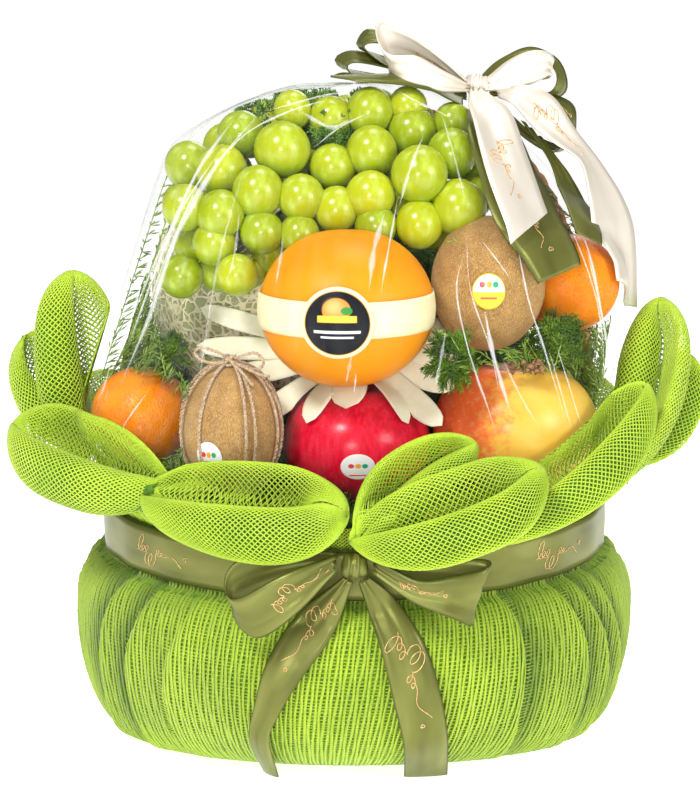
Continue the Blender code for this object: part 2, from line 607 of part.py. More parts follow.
def make_paper_collar():
    """A paper star behind the pear: rounded leaves round a ring, bent forward past the fruit below."""
    right = UP.cross(STAR_AXIS).normalized()
    above = STAR_AXIS.cross(right)
    bm = bmesh.new()
    ring = []
    for k in range(STAR_POINTS * 2):
        angle = math.tau * (k - 0.5) / (STAR_POINTS * 2)
        out = right * math.cos(angle) + above * math.sin(angle)
        ring.append(bm.verts.new(star_point(out * STAR_INNER)))
    hub = bm.verts.new(star_point(Vector()))
    for k in range(len(ring)):
        bm.faces.new((hub, ring[k], ring[(k + 1) % len(ring)]))
    for k in range(STAR_POINTS):
        angle = math.tau * (2 * k) / (STAR_POINTS * 2)
        out = right * math.cos(angle) + above * math.sin(angle)
        side = above * math.cos(angle) - right * math.sin(angle)
        left, fore = ring[2 * k], ring[(2 * k + 1) % len(ring)]
        upright = STAR_TOP_REACH if out.z > 0 else STAR_LOW_REACH
        length = STAR_SIDE_REACH + (upright - STAR_SIDE_REACH) * out.z ** 2
        for share, width in ((0.35, 0.85), (0.68, 1.0), (0.94, 0.6)):
            reach = STAR_INNER + (length - STAR_INNER) * share
            across = side * STAR_HALF_WIDTH * width
            next_left = bm.verts.new(star_point(out * reach - across))
            next_fore = bm.verts.new(star_point(out * reach + across))
            bm.faces.new((left, fore, next_fore, next_left))
            left, fore = next_left, next_fore
        end = bm.verts.new(star_point(out * length))
        bm.faces.new((left, fore, end))
    piece = add_object("paper_collar", bm, "paper", 0.8)
    solidify(piece, STAR_THICKNESS)


def star_point(offset):
    """A point of the star, cupped forward towards its rim and kept off the fruit it lies between."""
    point = STAR_CENTRE + offset + STAR_AXIS * STAR_CUP * offset.length ** 2
    for name in ("pear", "melon", "apple", "kiwi_right", "kiwi_left", "mango"):
        point = off_fruit(point, name, STAR_CLEARANCE)
    return point


def make_twine():
    """Three turns of twine over the kiwi's ends, knotted in a bow on top."""
    centre = mm(*FRUIT["kiwi_left"]["at"])
    loops = []
    for azimuth, tilt in TWINE_TURNS:
        out = polar(1, azimuth, 0)
        points = []
        for k in range(TWINE_STEPS):
            angle = math.tau * k / TWINE_STEPS
            direction = out * math.sin(angle) + UP * math.cos(angle)
            direction = direction + out.cross(UP) * tilt * math.sin(angle) ** 2
            points.append(fruit_surface("kiwi_left", direction, TWINE_LIFT))
        loops.append(points)
    pieces = [tube("turn_%d" % k, points, TWINE_RADIUS, "twine", 0, True) for k, points in enumerate(loops)]
    top = centre + mm(0, -1, 36)
    for side in (-1, 1):
        route = [top, top + mm(8 * side, -8, 7), top + mm(16 * side, -11, 5), top + mm(12 * side, -12, -2),
                 top + mm(0, -3, 0)]
        pieces.append(tube("bow_%d" % side, spline(route, 7), TWINE_RADIUS, "twine", 0))
    pieces.append(ellipsoid("knot", tuple(top / MM), TWINE_KNOT, 8, "twine"))
    pieces.append(ellipsoid("foot", tuple((centre - mm(0, 0, 35.2)) / MM), TWINE_FOOT, 8, "twine"))
    join("kiwi_left_twine", pieces, "twine")


def join(name, pieces, colour_name):
    """One Boolean union of the pieces, which are then removed."""
    heap = new_collection(name + "_pieces")
    body, *rest = pieces
    for piece in rest:
        for collection in list(piece.users_collection):
            collection.objects.unlink(piece)
        heap.objects.link(piece)
    union = body.modifiers.new("Union", "BOOLEAN")
    union.operation = "UNION"
    union.operand_type = "COLLECTION"
    union.collection = heap
    body.name = name
    solid = bake(body)
    for piece in list(heap.objects):
        bpy.data.objects.remove(piece, do_unlink=True)
    bpy.data.collections.remove(heap)
    solid.data.materials.clear()
    solid.data.materials.append(material(name, colour_name, 0.7))
    return solid


def carve(piece, cutters):
    """Takes the cutters out of the piece and keeps its largest body."""
    heap = new_collection(piece.name + "_cutters")
    heap.hide_render = True
    for cutter in cutters:
        for collection in list(cutter.users_collection):
            collection.objects.unlink(cutter)
        heap.objects.link(cutter)
        cutter.hide_render = True
        cutter.display_type = "WIRE"
    for cutter in cutters:
        cut = piece.modifiers.new("Cut", "BOOLEAN")
        cut.operation = "DIFFERENCE"
        cut.object = cutter
    solid = bake(piece)
    for cutter in list(heap.objects):
        bpy.data.objects.remove(cutter, do_unlink=True)
    bpy.data.collections.remove(heap)
    keep_largest(solid)
    return solid


def keep_largest(piece):
    """Drops the loose scraps that a cut leaves."""
    bm = bmesh.new()
    bm.from_mesh(piece.data)
    left = set(bm.verts)
    bodies = []
    while left:
        body = set()
        reach = [left.pop()]
        while reach:
            vertex = reach.pop()
            body.add(vertex)
            near = [edge.other_vert(vertex) for edge in vertex.link_edges]
            fresh = [other for other in near if other in left]
            left.difference_update(fresh)
            reach.extend(fresh)
        bodies.append(body)
    largest = max(bodies, key=len)
    scraps = [vertex for body in bodies if body is not largest for vertex in body]
    bmesh.ops.delete(bm, geom=scraps, context="VERTS")
    bm.to_mesh(piece.data)
    bm.free()


def grown(growths):
    """Copies of fruit, a little larger, to cut their places out of what they lie in."""
    copies = []
    for name, grow in growths.items():
        fruit = FRUIT[name]
        copies.append(ellipsoid("cut_" + name, fruit["at"], fruit["half"], fruit["sides"], name, grow=grow))
    return copies


def make_grapes():
    """The bunch: berries fused on a core drawn in behind them."""
    centres = [mm(*grape[:3]) for grape in GRAPES]
    middle = sum(centres, Vector()) / len(centres)
    bm = bmesh.new()
    for centre in centres:
        bm.verts.new(middle + (centre - middle) * GRAPE_CORE)
    hull = bmesh.ops.convex_hull(bm, input=bm.verts)
    bmesh.ops.delete(bm, geom=hull["geom_interior"], context="VERTS")
    core = add_object("core", bm, "grape")
    berries = []
    for number, (x, y, z, radius) in enumerate(GRAPES):
        bm = bmesh.new()
        bmesh.ops.create_uvsphere(bm, u_segments=GRAPE_SIDES, v_segments=GRAPE_SIDES - 1, radius=radius * MM)
        bm.transform(Matrix.Translation(mm(x, y, z)) @ Matrix.Rotation(number, 4, "Z"))
        berries.append(add_object("berry_%d" % number, bm, "grape"))
    bunch = join("grape_bunch", [core] + berries, "grape")
    centre, half = FERN_TUFTS["fern_top"]
    tuft = ellipsoid("tuft", centre, half, 12, "fern", grow=0.0025)
    carve(bunch, grown({"melon": 0.0006, "pear": 0.0006, "kiwi_right": 0.0006}) + [tuft, handle_cutter()])


def handle_points():
    return spline([mm(*point) for point in HANDLE_ROUTE], HANDLE_STEPS)


def handle_cutter():
    return tube("handle_cutter", handle_points(), HANDLE_RADIUS + HANDLE_CLEARANCE, "wicker")


def make_handle():
    tube("handle", handle_points(), HANDLE_RADIUS, "wicker")


def make_fern_bed():
    """The bed of greenery that the fruit lies in, with a socket for each fruit."""
    bm = bmesh.new()
    low = WAIST_HIGH + GAP
    depth = FERN_BED["disc_top"] - low
    bmesh.ops.create_cone(bm, cap_ends=True, segments=24, radius1=FERN_BED["disc_radius"] - 0.002,
                          radius2=FERN_BED["disc_radius"], depth=depth)
    bm.transform(Matrix.Translation((0, 0, low + depth / 2)))
    disc = add_object("disc", bm, "fern")
    mounds = [ellipsoid("mound", centre, half, 14, "fern") for centre, half in FERN_BED["mounds"]]
    bed = join("fern_bed", [disc] + mounds, "fern")
    bm = bmesh.new()
    bmesh.ops.create_cube(bm, size=0.4)
    bm.transform(Matrix.Translation((0, 0, low - 0.2)))
    below = add_object("below", bm, "fern")
    growths = {name: 0.0008 for name in FRUIT} | {"apple": 0.0024, "kiwi_left": 0.0044}
    carve(bed, [below] + grown(growths) + [handle_cutter()])


def make_fern_tufts():
    """Sprigs tucked between the fruit: uneven tufts."""
    draw = random.Random(5)
    neighbours = ("pear", "apple", "mango", "kiwi_right", "kiwi_left", "orange_left", "orange_right", "melon")
    for name, (centre, half) in FERN_TUFTS.items():
        bm = bmesh.new()
        bmesh.ops.create_icosphere(bm, subdivisions=2, radius=1)
        for vertex in bm.verts:
            bump = 0.82 + 0.3 * draw.random()
            point = mm(*centre) + Vector([c * h * MM * bump for c, h in zip(vertex.co, half)])
            for fruit in neighbours:
                point = off_fruit(point, fruit, TUFT_CLEARANCE)
            vertex.co = point
        add_object(name, bm, "fern", 0.9)


def make_calyx():
    """The crinkled brown end of a kiwi's stalk, between the kiwi and the mango."""
    draw = random.Random(3)
    bm = bmesh.new()
    bmesh.ops.create_icosphere(bm, subdivisions=2, radius=1)
    for vertex in bm.verts:
        bump = 0.75 + 0.4 * draw.random()
        point = mm(*CALYX["at"]) + Vector([c * h * MM * bump for c, h in zip(vertex.co, CALYX["half"])])
        for fruit in ("kiwi_right", "mango"):
            point = off_fruit(point, fruit, CALYX["clearance"])
        vertex.co = point
    add_object("kiwi_calyx", bm, "calyx", 0.9)


# ---- The clear film ----
class Film:
    """The film drawn tight over the contents: their convex skin, open at the neck below."""

    def __init__(self, contents):
        self.centre = Vector((0, 0, NECK_HEIGHT))
        corners = [polar(NECK_RADIUS, 360 * k / FILM_SIDES, NECK_HEIGHT) for k in range(FILM_SIDES)]
        corners += [mm(*point) for point in FILM_SHOULDERS]
        for piece in contents:
            bm = evaluated_bmesh(piece)
            corners += [vertex.co.copy() for vertex in bm.verts if vertex.co.z > NECK_HEIGHT + FILM_MERGE]
            bm.free()
        coarse = self.hull(corners)
        bmesh.ops.remove_doubles(coarse, verts=coarse.verts, dist=FILM_MERGE)
        self.skin = self.hull([vertex.co.copy() for vertex in coarse.verts])
        coarse.free()
        for vertex in self.skin.verts:
            if vertex.co.z > NECK_HEIGHT + FILM_MERGE:
                way = vertex.co - self.centre
                vertex.co = vertex.co + way.normalized() * FILM_MARGIN
        floor = [face for face in self.skin.faces if max(v.co.z for v in face.verts) < NECK_HEIGHT + MM]
        bmesh.ops.delete(self.skin, geom=floor, context="FACES")
        self.tree = BVHTree.FromBMesh(self.skin)

    def hull(self, points):
        bm = bmesh.new()
        for point in points:
            bm.verts.new(point)
        found = bmesh.ops.convex_hull(bm, input=bm.verts)
        spare = {item for key in ("geom_interior", "geom_unused") for item in found[key]}
        bmesh.ops.delete(bm, geom=[v for v in spare if isinstance(v, bmesh.types.BMVert)], context="VERTS")
        return bm

    def outside(self, point, gap):
        """Moves a point out to a gap over the film."""
        way = point - self.centre
        if way.z <= 0:
            return point
        hit, _, _, distance = self.tree.ray_cast(self.centre, way.normalized())
        reach = (distance or NECK_RADIUS) + gap + FILM_THICKNESS
        if way.length >= reach:
            return point
        return self.centre + way.normalized() * reach


def make_ribbons(film):
    """Each ribbon is a strip between its two edges, kept just off what it lies on."""
    for name, ribbon in RIBBONS.items():
        edges = [spline([mm(*point) for point in edge], ribbon["steps"]) for edge in ribbon["edges"]]
        if ribbon["over"] == "belly":
            grid = [[off_belly(point) for point in pair] for pair in zip(*edges)]
        else:
            gap = FILM_CLEARANCE[ribbon["over"]]
            grid = [[film.outside(point, gap) for point in pair] for pair in zip(*edges)]
        sheet(name, grid, RIBBON_THICKNESS, ribbon["satin"], SATIN_ROUGHNESS)


def off_belly(point):
    """Keeps a ribbon off the wrapped basket and off the floor."""
    x, y, z = point
    radius = math.hypot(x, y)
    reach = pouch_radius(math.atan2(x, -y), max(z, 0)) + BELLY_CLEARANCE
    scale = max(1, reach / radius)
    return Vector((x * scale, y * scale, max(z, FLOOR_CLEARANCE)))


def make_knots():
    for name, (centre, half, satin) in KNOTS.items():
        ellipsoid(name, centre, half, 12, satin, SATIN_ROUGHNESS)


def make_film():
    outside_nodes = ("pouch", "net_collar", "waist_ribbon")
    contents = [piece for piece in basket.objects if piece.name not in outside_nodes]
    film = Film(contents)
    piece = add_object("film", film.skin.copy(), "film", 0.05)
    solidify(piece, FILM_THICKNESS, 1.0)
    shader = piece.data.materials[0].node_tree.nodes["Principled BSDF"]
    shader.inputs["Alpha"].default_value = 0.25
    return film


clear_scene()
basket = new_collection("fruit_gift_basket")
make_pouch()
make_collar()
make_waist_ribbon()
make_fruit()
make_handle()
make_fern_bed()
make_grapes()
make_pear_band()
make_pear_label()
for sticker, (fruit, facing, half_width, half_height) in STICKERS.items():
    make_sticker(sticker, fruit, facing, half_width, half_height)
make_paper_collar()
make_twine()
make_fern_tufts()
make_calyx()
film = make_film()
make_folds(film)
make_ribbons(film)
make_knots()
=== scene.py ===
import math
import random

import bpy
import numpy as np
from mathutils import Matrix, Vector
from mathutils.bvhtree import BVHTree


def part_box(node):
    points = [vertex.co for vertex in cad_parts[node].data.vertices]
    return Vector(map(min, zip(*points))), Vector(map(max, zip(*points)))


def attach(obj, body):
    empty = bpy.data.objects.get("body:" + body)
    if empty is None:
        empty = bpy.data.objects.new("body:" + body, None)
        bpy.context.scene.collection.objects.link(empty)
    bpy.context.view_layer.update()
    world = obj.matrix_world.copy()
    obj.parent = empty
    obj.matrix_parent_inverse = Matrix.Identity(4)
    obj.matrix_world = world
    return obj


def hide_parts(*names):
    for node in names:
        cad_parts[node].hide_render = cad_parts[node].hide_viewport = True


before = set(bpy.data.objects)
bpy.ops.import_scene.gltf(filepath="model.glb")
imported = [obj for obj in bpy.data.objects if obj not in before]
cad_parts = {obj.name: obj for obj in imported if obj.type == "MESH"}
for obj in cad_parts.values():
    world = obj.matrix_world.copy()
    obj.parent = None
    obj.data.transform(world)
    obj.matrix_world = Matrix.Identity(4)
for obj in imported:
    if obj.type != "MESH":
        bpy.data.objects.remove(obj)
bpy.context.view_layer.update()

mm = 0.001
print("basket: frame loaded,", len(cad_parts), "nodes")


# the camera comes first, because the film's creases are placed through it
view = {"width": 700, "height": 788, "distance": 1.30, "elevation": 11, "aim": (-0.0022, 0, 0.1735),
        "pixelsPerMetre": 2407.4, "sensor": 36}


def makeCamera():
    data = bpy.data.cameras.new("view")
    data.sensor_fit = "VERTICAL"
    data.sensor_height = view["sensor"]
    data.lens = view["sensor"] * view["pixelsPerMetre"] / view["height"]
    camera = bpy.data.objects.new("view", data)
    rise = math.radians(view["elevation"])
    back = Vector((0, -math.cos(rise), math.sin(rise)))
    camera.location = Vector(view["aim"]) + back * view["distance"]
    camera.rotation_euler = (math.pi / 2 - rise, 0, 0)
    bpy.context.scene.collection.objects.link(camera)
    bpy.context.scene.camera = camera
    return camera


camera = makeCamera()
bpy.context.view_layer.update()


def cameraRay(across, down):
    # from the lens through a point of the rendered view, in its pixels
    way = Vector(((across - view["width"] / 2) / view["pixelsPerMetre"],
                  -(down - view["height"] / 2) / view["pixelsPerMetre"], -1))
    return camera.matrix_world.translation, (camera.matrix_world.to_3x3() @ way).normalized()


# shader maths: a wrapped socket that takes part in Python expressions
class Value:
    def __init__(self, paint, socket):
        self.paint, self.socket = paint, socket

    def math(self, operation, *others):
        return self.paint.node("ShaderNodeMath", {"operation": operation}, dict(enumerate((self, *others))))

    def __add__(self, other):
        return self.math("ADD", other)

    def __sub__(self, other):
        return self.math("SUBTRACT", other)

    def __mul__(self, other):
        return self.math("MULTIPLY", other)

    def __truediv__(self, other):
        return self.math("DIVIDE", other)

    def __pow__(self, other):
        return self.math("POWER", other)

    def __rsub__(self, other):
        return self.paint.node("ShaderNodeMath", {"operation": "SUBTRACT"}, {0: other, 1: self})

    def __rtruediv__(self, other):
        return self.paint.node("ShaderNodeMath", {"operation": "DIVIDE"}, {0: other, 1: self})

    __radd__ = __add__
    __rmul__ = __mul__

    def least(self, other):
        return self.math("MINIMUM", other)

    def most(self, other):
        return self.math("MAXIMUM", other)

    def step(self, low, high):
        # 0 at low, 1 at high, smooth between
        return self.paint.node("ShaderNodeMapRange", {"interpolation_type": "SMOOTHSTEP"},
                               {0: self, 1: low, 2: high, 3: 0.0, 4: 1.0})


class Paint:
    def __init__(self, name, **fixed):
        self.material = bpy.data.materials.new(name)
        self.material.use_nodes = True
        self.tree = self.material.node_tree
        self.shader = self.tree.nodes["Principled BSDF"]
        for socket, value in fixed.items():
            self.shader.inputs[socket.replace("_", " ")].default_value = value

    def node(self, kind, settings=None, sockets=None, out=0):
        made = self.tree.nodes.new(kind)
        for key, value in (settings or {}).items():
            if key == "stops":
                self.setStops(made.color_ramp, value)
            else:
                setattr(made, key, value)
        for key, value in (sockets or {}).items():
            self.feed(made.inputs[key], value)
        return Value(self, made.outputs[out])

    def setStops(self, ramp, stops):
        while len(ramp.elements) < len(stops):
            ramp.elements.new(0.5)
        for element, (place, colour) in zip(ramp.elements, stops):
            element.position = place
            element.color = (*colour, 1)

    def feed(self, socket, value):
        if isinstance(value, Value):
            self.tree.links.new(value.socket, socket)
        elif hasattr(value, "__len__") and len(value) == 3 and socket.type == "RGBA":
            socket.default_value = (*value, 1)
        else:
            socket.default_value = value

    def set(self, socket, value):
        self.feed(self.shader.inputs[socket], value)

    def colour(self, value):
        self.set("Base Color", value)

    def mix(self, share, first, second):
        return self.node("ShaderNodeMix", {"data_type": "RGBA"}, {0: share, 6: first, 7: second}, 2)

    def place(self):
        return self.node("ShaderNodeTexCoord", out="Object")

    def stored(self, name, part="Fac"):
        return self.node("ShaderNodeAttribute", {"attribute_name": name}, out=part)

    def scaled(self, vector, size):
        return self.node("ShaderNodeVectorMath", {"operation": "MULTIPLY"}, {0: vector, 1: size})

    def parts(self, vector):
        node = self.node("ShaderNodeSeparateXYZ", None, {0: vector}).socket.node
        return [Value(self, socket) for socket in node.outputs]

    def noise(self, vector, scale, detail=3.0, rough=0.5):
        return self.node("ShaderNodeTexNoise", None,
                         {"Vector": vector, "Scale": scale, "Detail": detail, "Roughness": rough})

    def cells(self, vector, scale, feature="F1"):
        return self.node("ShaderNodeTexVoronoi", {"feature": feature}, {"Vector": vector, "Scale": scale})

    def bump(self, height, distance, strength=1.0):
        self.set("Normal", self.node("ShaderNodeBump", None,
                                     {"Height": height, "Distance": distance, "Strength": strength}))


# meshes
def addPiece(name, points, faces, paint, replaces=(), stored=None, smooth=True):
    mesh = bpy.data.meshes.new(name)
    mesh.from_pydata(np.asarray(points, float).tolist(), [], [list(face) for face in faces])
    for key, values in (stored or {}).items():
        values = np.asarray(values, np.float32)
        kind, field = ("FLOAT_VECTOR", "vector") if values.ndim == 2 else ("FLOAT", "value")
        mesh.attributes.new(key, kind, "POINT").data.foreach_set(field, values.ravel())
    mesh.materials.append(paint.material)
    if smooth:
        mesh.shade_smooth()
    piece = bpy.data.objects.new(name, mesh)
    bpy.context.scene.collection.objects.link(piece)
    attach(piece, "root")
    if replaces:
        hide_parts(*replaces)
    return piece


def unit(vectors):
    return vectors / np.maximum(np.linalg.norm(vectors, axis=-1, keepdims=True), 1e-12)


def smoothLine(points, count):
    # a smooth curve through the points, read at count places
    points = np.asarray(points, float)
    ends = np.vstack([2 * points[0] - points[1], points, 2 * points[-1] - points[-2]])
    place = np.linspace(0, len(points) - 1 - 1e-6, count)
    i = place.astype(int)
    t = (place - i)[:, None]
    a, b, c, d = ends[i], ends[i + 1], ends[i + 2], ends[i + 3]
    return 0.5 * (2 * b + (c - a) * t + (2 * a - 5 * b + 4 * c - d) * t ** 2
                  + (3 * b - a - 3 * c + d) * t ** 3)


def evenLine(points, count):
    # the same line with even steps
    points = np.asarray(points, float)
    along = np.concatenate([[0], np.cumsum(np.linalg.norm(np.diff(points, axis=0), axis=1))])
    at = np.linspace(0, along[-1], count)
    return np.stack([np.interp(at, along, points[:, k]) for k in range(3)], axis=1)


def thicken(piece, thickness, offset=-1.0):
    wall = piece.modifiers.new("thickness", "SOLIDIFY")
    wall.thickness = thickness
    wall.offset = offset


def gridFaces(rows, columns):
    faces = []
    for i in range(rows - 1):
        for j in range(columns - 1):
            a, b = i * columns + j, (i + 1) * columns + j
            faces.append((a, b, b + 1, a + 1))
    return faces


def ringFaces(rows, columns, upward=False):
    # the faces of a grid whose columns close into a ring, for rows that run down or upward
    faces = []
    for i in range(rows - 1):
        for j in range(columns):
            here, after = i * columns + j, i * columns + (j + 1) % columns
            face = (here, here + columns, after + columns, after)
            faces.append(face[:1] + face[:0:-1] if upward else face)
    return faces


def roundGrid(radius, azimuth, height):
    # points round the basket's middle line, from the front (-Y) to the right
    return np.stack([radius * np.sin(azimuth), -radius * np.cos(azimuth),
                     np.broadcast_to(height, radius.shape)], axis=2)


def sphereWays(rows, columns, gap):
    # directions in rings from the top down, with their angles
    down = np.linspace(gap, math.pi - gap, rows)[:, None]
    turn = np.linspace(0, math.tau, columns, endpoint=False)[None, :]
    ways = np.stack([np.sin(down) * np.cos(turn), np.sin(down) * np.sin(turn), np.cos(down) + 0 * turn], axis=2)
    return ways, down, turn


def upWay(azimuth, rise):
    # a direction from its azimuth, 0 at the front, and its rise
    return Vector((math.cos(rise) * math.sin(azimuth), -math.cos(rise) * math.cos(azimuth), math.sin(rise)))


def randomWay(draw):
    way = np.array([draw.gauss(0, 1) for _ in range(3)])
    return way / np.linalg.norm(way)


def gridNormals(grid):
    along = np.gradient(grid, axis=0)
    across = np.gradient(grid, axis=1)
    return unit(np.cross(along, across))


def tubes(lines, normals, radii, sides=3):
    # round bars along many lines, closed at both ends
    points, faces, start = [], [], 0
    for line, normal, radius in zip(lines, normals, radii):
        if len(line) < 2:
            continue
        along = unit(np.gradient(line, axis=0))
        side = unit(np.cross(along, normal))
        above = np.cross(side, along)
        turn = [math.tau * (k + 0.25) / sides for k in range(sides)]
        radius = np.broadcast_to(np.asarray(radius, float).reshape(-1, 1), (len(line), 1))
        ring = np.stack([line + (side * math.cos(a) + above * math.sin(a)) * radius for a in turn], axis=1)
        points.append(ring.reshape(-1, 3))
        base = start + np.arange(len(line) - 1)[:, None] * sides
        for k in range(sides):
            after = (k + 1) % sides
            faces.append(np.hstack([base + k, base + after, base + sides + after, base + sides + k]))
        last = start + (len(line) - 1) * sides
        faces.append([tuple(range(start + sides - 1, start - 1, -1)), tuple(range(last, last + sides))])
        start += len(line) * sides
    return np.vstack(points), [tuple(face) for block in faces for face in block]


def sideways(line):
    # a direction square to the line at each of its points
    along = unit(np.gradient(line, axis=0))
    helper = np.where(np.abs(along[:, 2:]) < 0.9, [[0, 0, 1]], [[1, 0, 0]])
    return unit(np.cross(along, helper))


def rods(lines, radius, sides):
    # round bars of one thickness along free lines
    return tubes(lines, [sideways(line) for line in lines], [radius] * len(lines), sides)


def readGrid(grid, u, v):
    # a point between the grid's own, u down the rows and v across
    rows, columns = grid.shape[:2]
    a, b = np.clip(u, 0, 1) * (rows - 1), np.clip(v, 0, 1) * (columns - 1)
    i, j = np.minimum(a.astype(int), rows - 2), np.minimum(b.astype(int), columns - 2)
    s, t = (a - i)[..., None], (b - j)[..., None]
    return ((grid[i, j] * (1 - s) + grid[i + 1, j] * s) * (1 - t)
            + (grid[i, j + 1] * (1 - s) + grid[i + 1, j + 1] * s) * t)


def nodeTree(*names):
    # CAD solids as one shape that rays can be cast at
    points, faces = [], []
    for name in names:
        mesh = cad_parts[name].data
        mesh.calc_loop_triangles()
        start = len(points)
        points += [vertex.co.copy() for vertex in mesh.vertices]
        faces += [tuple(start + k for k in triangle.vertices) for triangle in mesh.loop_triangles]
    return BVHTree.FromPolygons(points, faces)


# the wrapped basket
pouch = {
    "halfWidth": 0.126, "halfDepth": 0.096, "squareness": 3.0,  # the underside, a rounded oblong
    "bellyRadius": 0.1515, "bellyHeight": 0.058, "waistRadius": 0.134, "waistLow": 0.094, "waistHigh": 0.1195,
    "footHeight": 0.012, "footRows": 7, "sideRows": 44, "columns": 721,
    "liningInset": 0.0016, "meanRadius": 0.1440, "netHeight": 0.132,
    "warpPitch": 0.0024, "warpRadius": 0.00090, "warpStep": 0.0060,
    "weftPitch": 0.00165, "weftRadius": 0.00037, "weftPoints": 140, "jitter": 0.00008,
    # each pleat's direction in degrees, its depth in mm and its width in degrees
    "pleats": [(-65, 5, 4), (-53, 5, 3.5), (-41, 2, 4), (37, 4, 4), (55, 4, 3.5), (64, 4, 3.5),
               (73, 3, 3.5), (-97, 3, 4), (-109, 4, 3.5), (98, 4, 4), (111, 4, 4), (124, 4, 3.5),
               (146, 4, 4), (163, 3, 4), (181, 4, 4), (-121, 4, 4), (-136, 4, 3.5), (-158, 4, 4)]}


def pleatDepth(azimuth, height):
    # one layer laps over the next: a sharp drop at its edge that fills again slowly, and a thick edge
    rise = np.clip(height / pouch["waistLow"], 0, 1)
    under, edges = np.zeros_like(azimuth + height), np.zeros_like(azimuth + height)
    for number, (direction, depth, width) in enumerate(pouch["pleats"]):
        centre = direction * (1 - 0.14 * rise ** 2) + 1.2 * np.sin(height * 60 + number)
        turn = ((np.degrees(azimuth) - centre + 180) % 360 - 180) * np.sign(direction)
        drop = np.where(turn > 0, np.exp(-(turn / (width * 1.5)) ** 1.3), np.exp(-(turn / 0.45) ** 2))
        under = under + depth * mm * drop
        edges = edges + depth * mm * np.exp(-((turn + 2.0) / 1.8) ** 2)
    fade = 0.5 + 0.5 * np.sin(math.pi * np.minimum(1, height / pouch["bellyHeight"] / 1.6))
    return under * fade, edges * fade


def pouchRadius(azimuth, height):
    power = pouch["squareness"]
    across = np.abs(np.sin(azimuth)) / pouch["halfWidth"]
    along = np.abs(np.cos(azimuth)) / pouch["halfDepth"]
    base = (across ** power + along ** power) ** (-1 / power)
    below = 1 - height / pouch["bellyHeight"]
    low = base + (pouch["bellyRadius"] - base) * np.sqrt(np.clip(1 - below ** 2, 0, 1))
    above = np.clip((height - pouch["bellyHeight"]) / (pouch["waistLow"] - pouch["bellyHeight"]), 0, 1)
    high = pouch["waistRadius"] + (pouch["bellyRadius"] - pouch["waistRadius"]) * np.sqrt(1 - above ** 2)
    under, edges = pleatDepth(azimuth, height)
    return np.where(height < pouch["bellyHeight"], low, high) - 0.95 * under + 0.30 * edges


def pouchGrid(inset):
    # from the centre of the underside round the belly up to the waist
    foot, top = pouch["footHeight"], pouch["waistHigh"] - mm
    heights = np.concatenate([np.linspace(0, foot, pouch["footRows"]),
                              np.linspace(foot + 2 * mm, top, pouch["sideRows"])])
    azimuths = np.linspace(-math.pi, math.pi, pouch["columns"])
    radius = np.maximum(pouchRadius(azimuths[None, :], heights[:, None]) - inset, 0.02)
    return roundGrid(radius, azimuths, heights[:, None])


def netPaint(name, lit, shade, paintedShade):
    paint = Paint(name, Roughness=0.7, Sheen_Weight=0.15, Sheen_Roughness=0.4)
    # painted shade: where the stored "hollow" share is high, the net turns towards the dark last colour
    hollow = paint.stored("hollow")
    place = paint.place()
    patch = paint.noise(place, 28.0, 4.0)
    fibre = paint.noise(paint.scaled(place, (900, 900, 900)), 1.0, 2.0)
    colour = paint.mix(patch.step(0.3, 0.7), shade, lit)
    colour = paint.mix(fibre.step(0.35, 0.75) * 0.3, colour, (0.70, 0.88, 0.13))
    paint.colour(paint.mix(hollow.step(0.05, 1.0) * 0.85, colour, paintedShade))
    paint.bump(fibre, 0.0001, 0.4)
    return paint


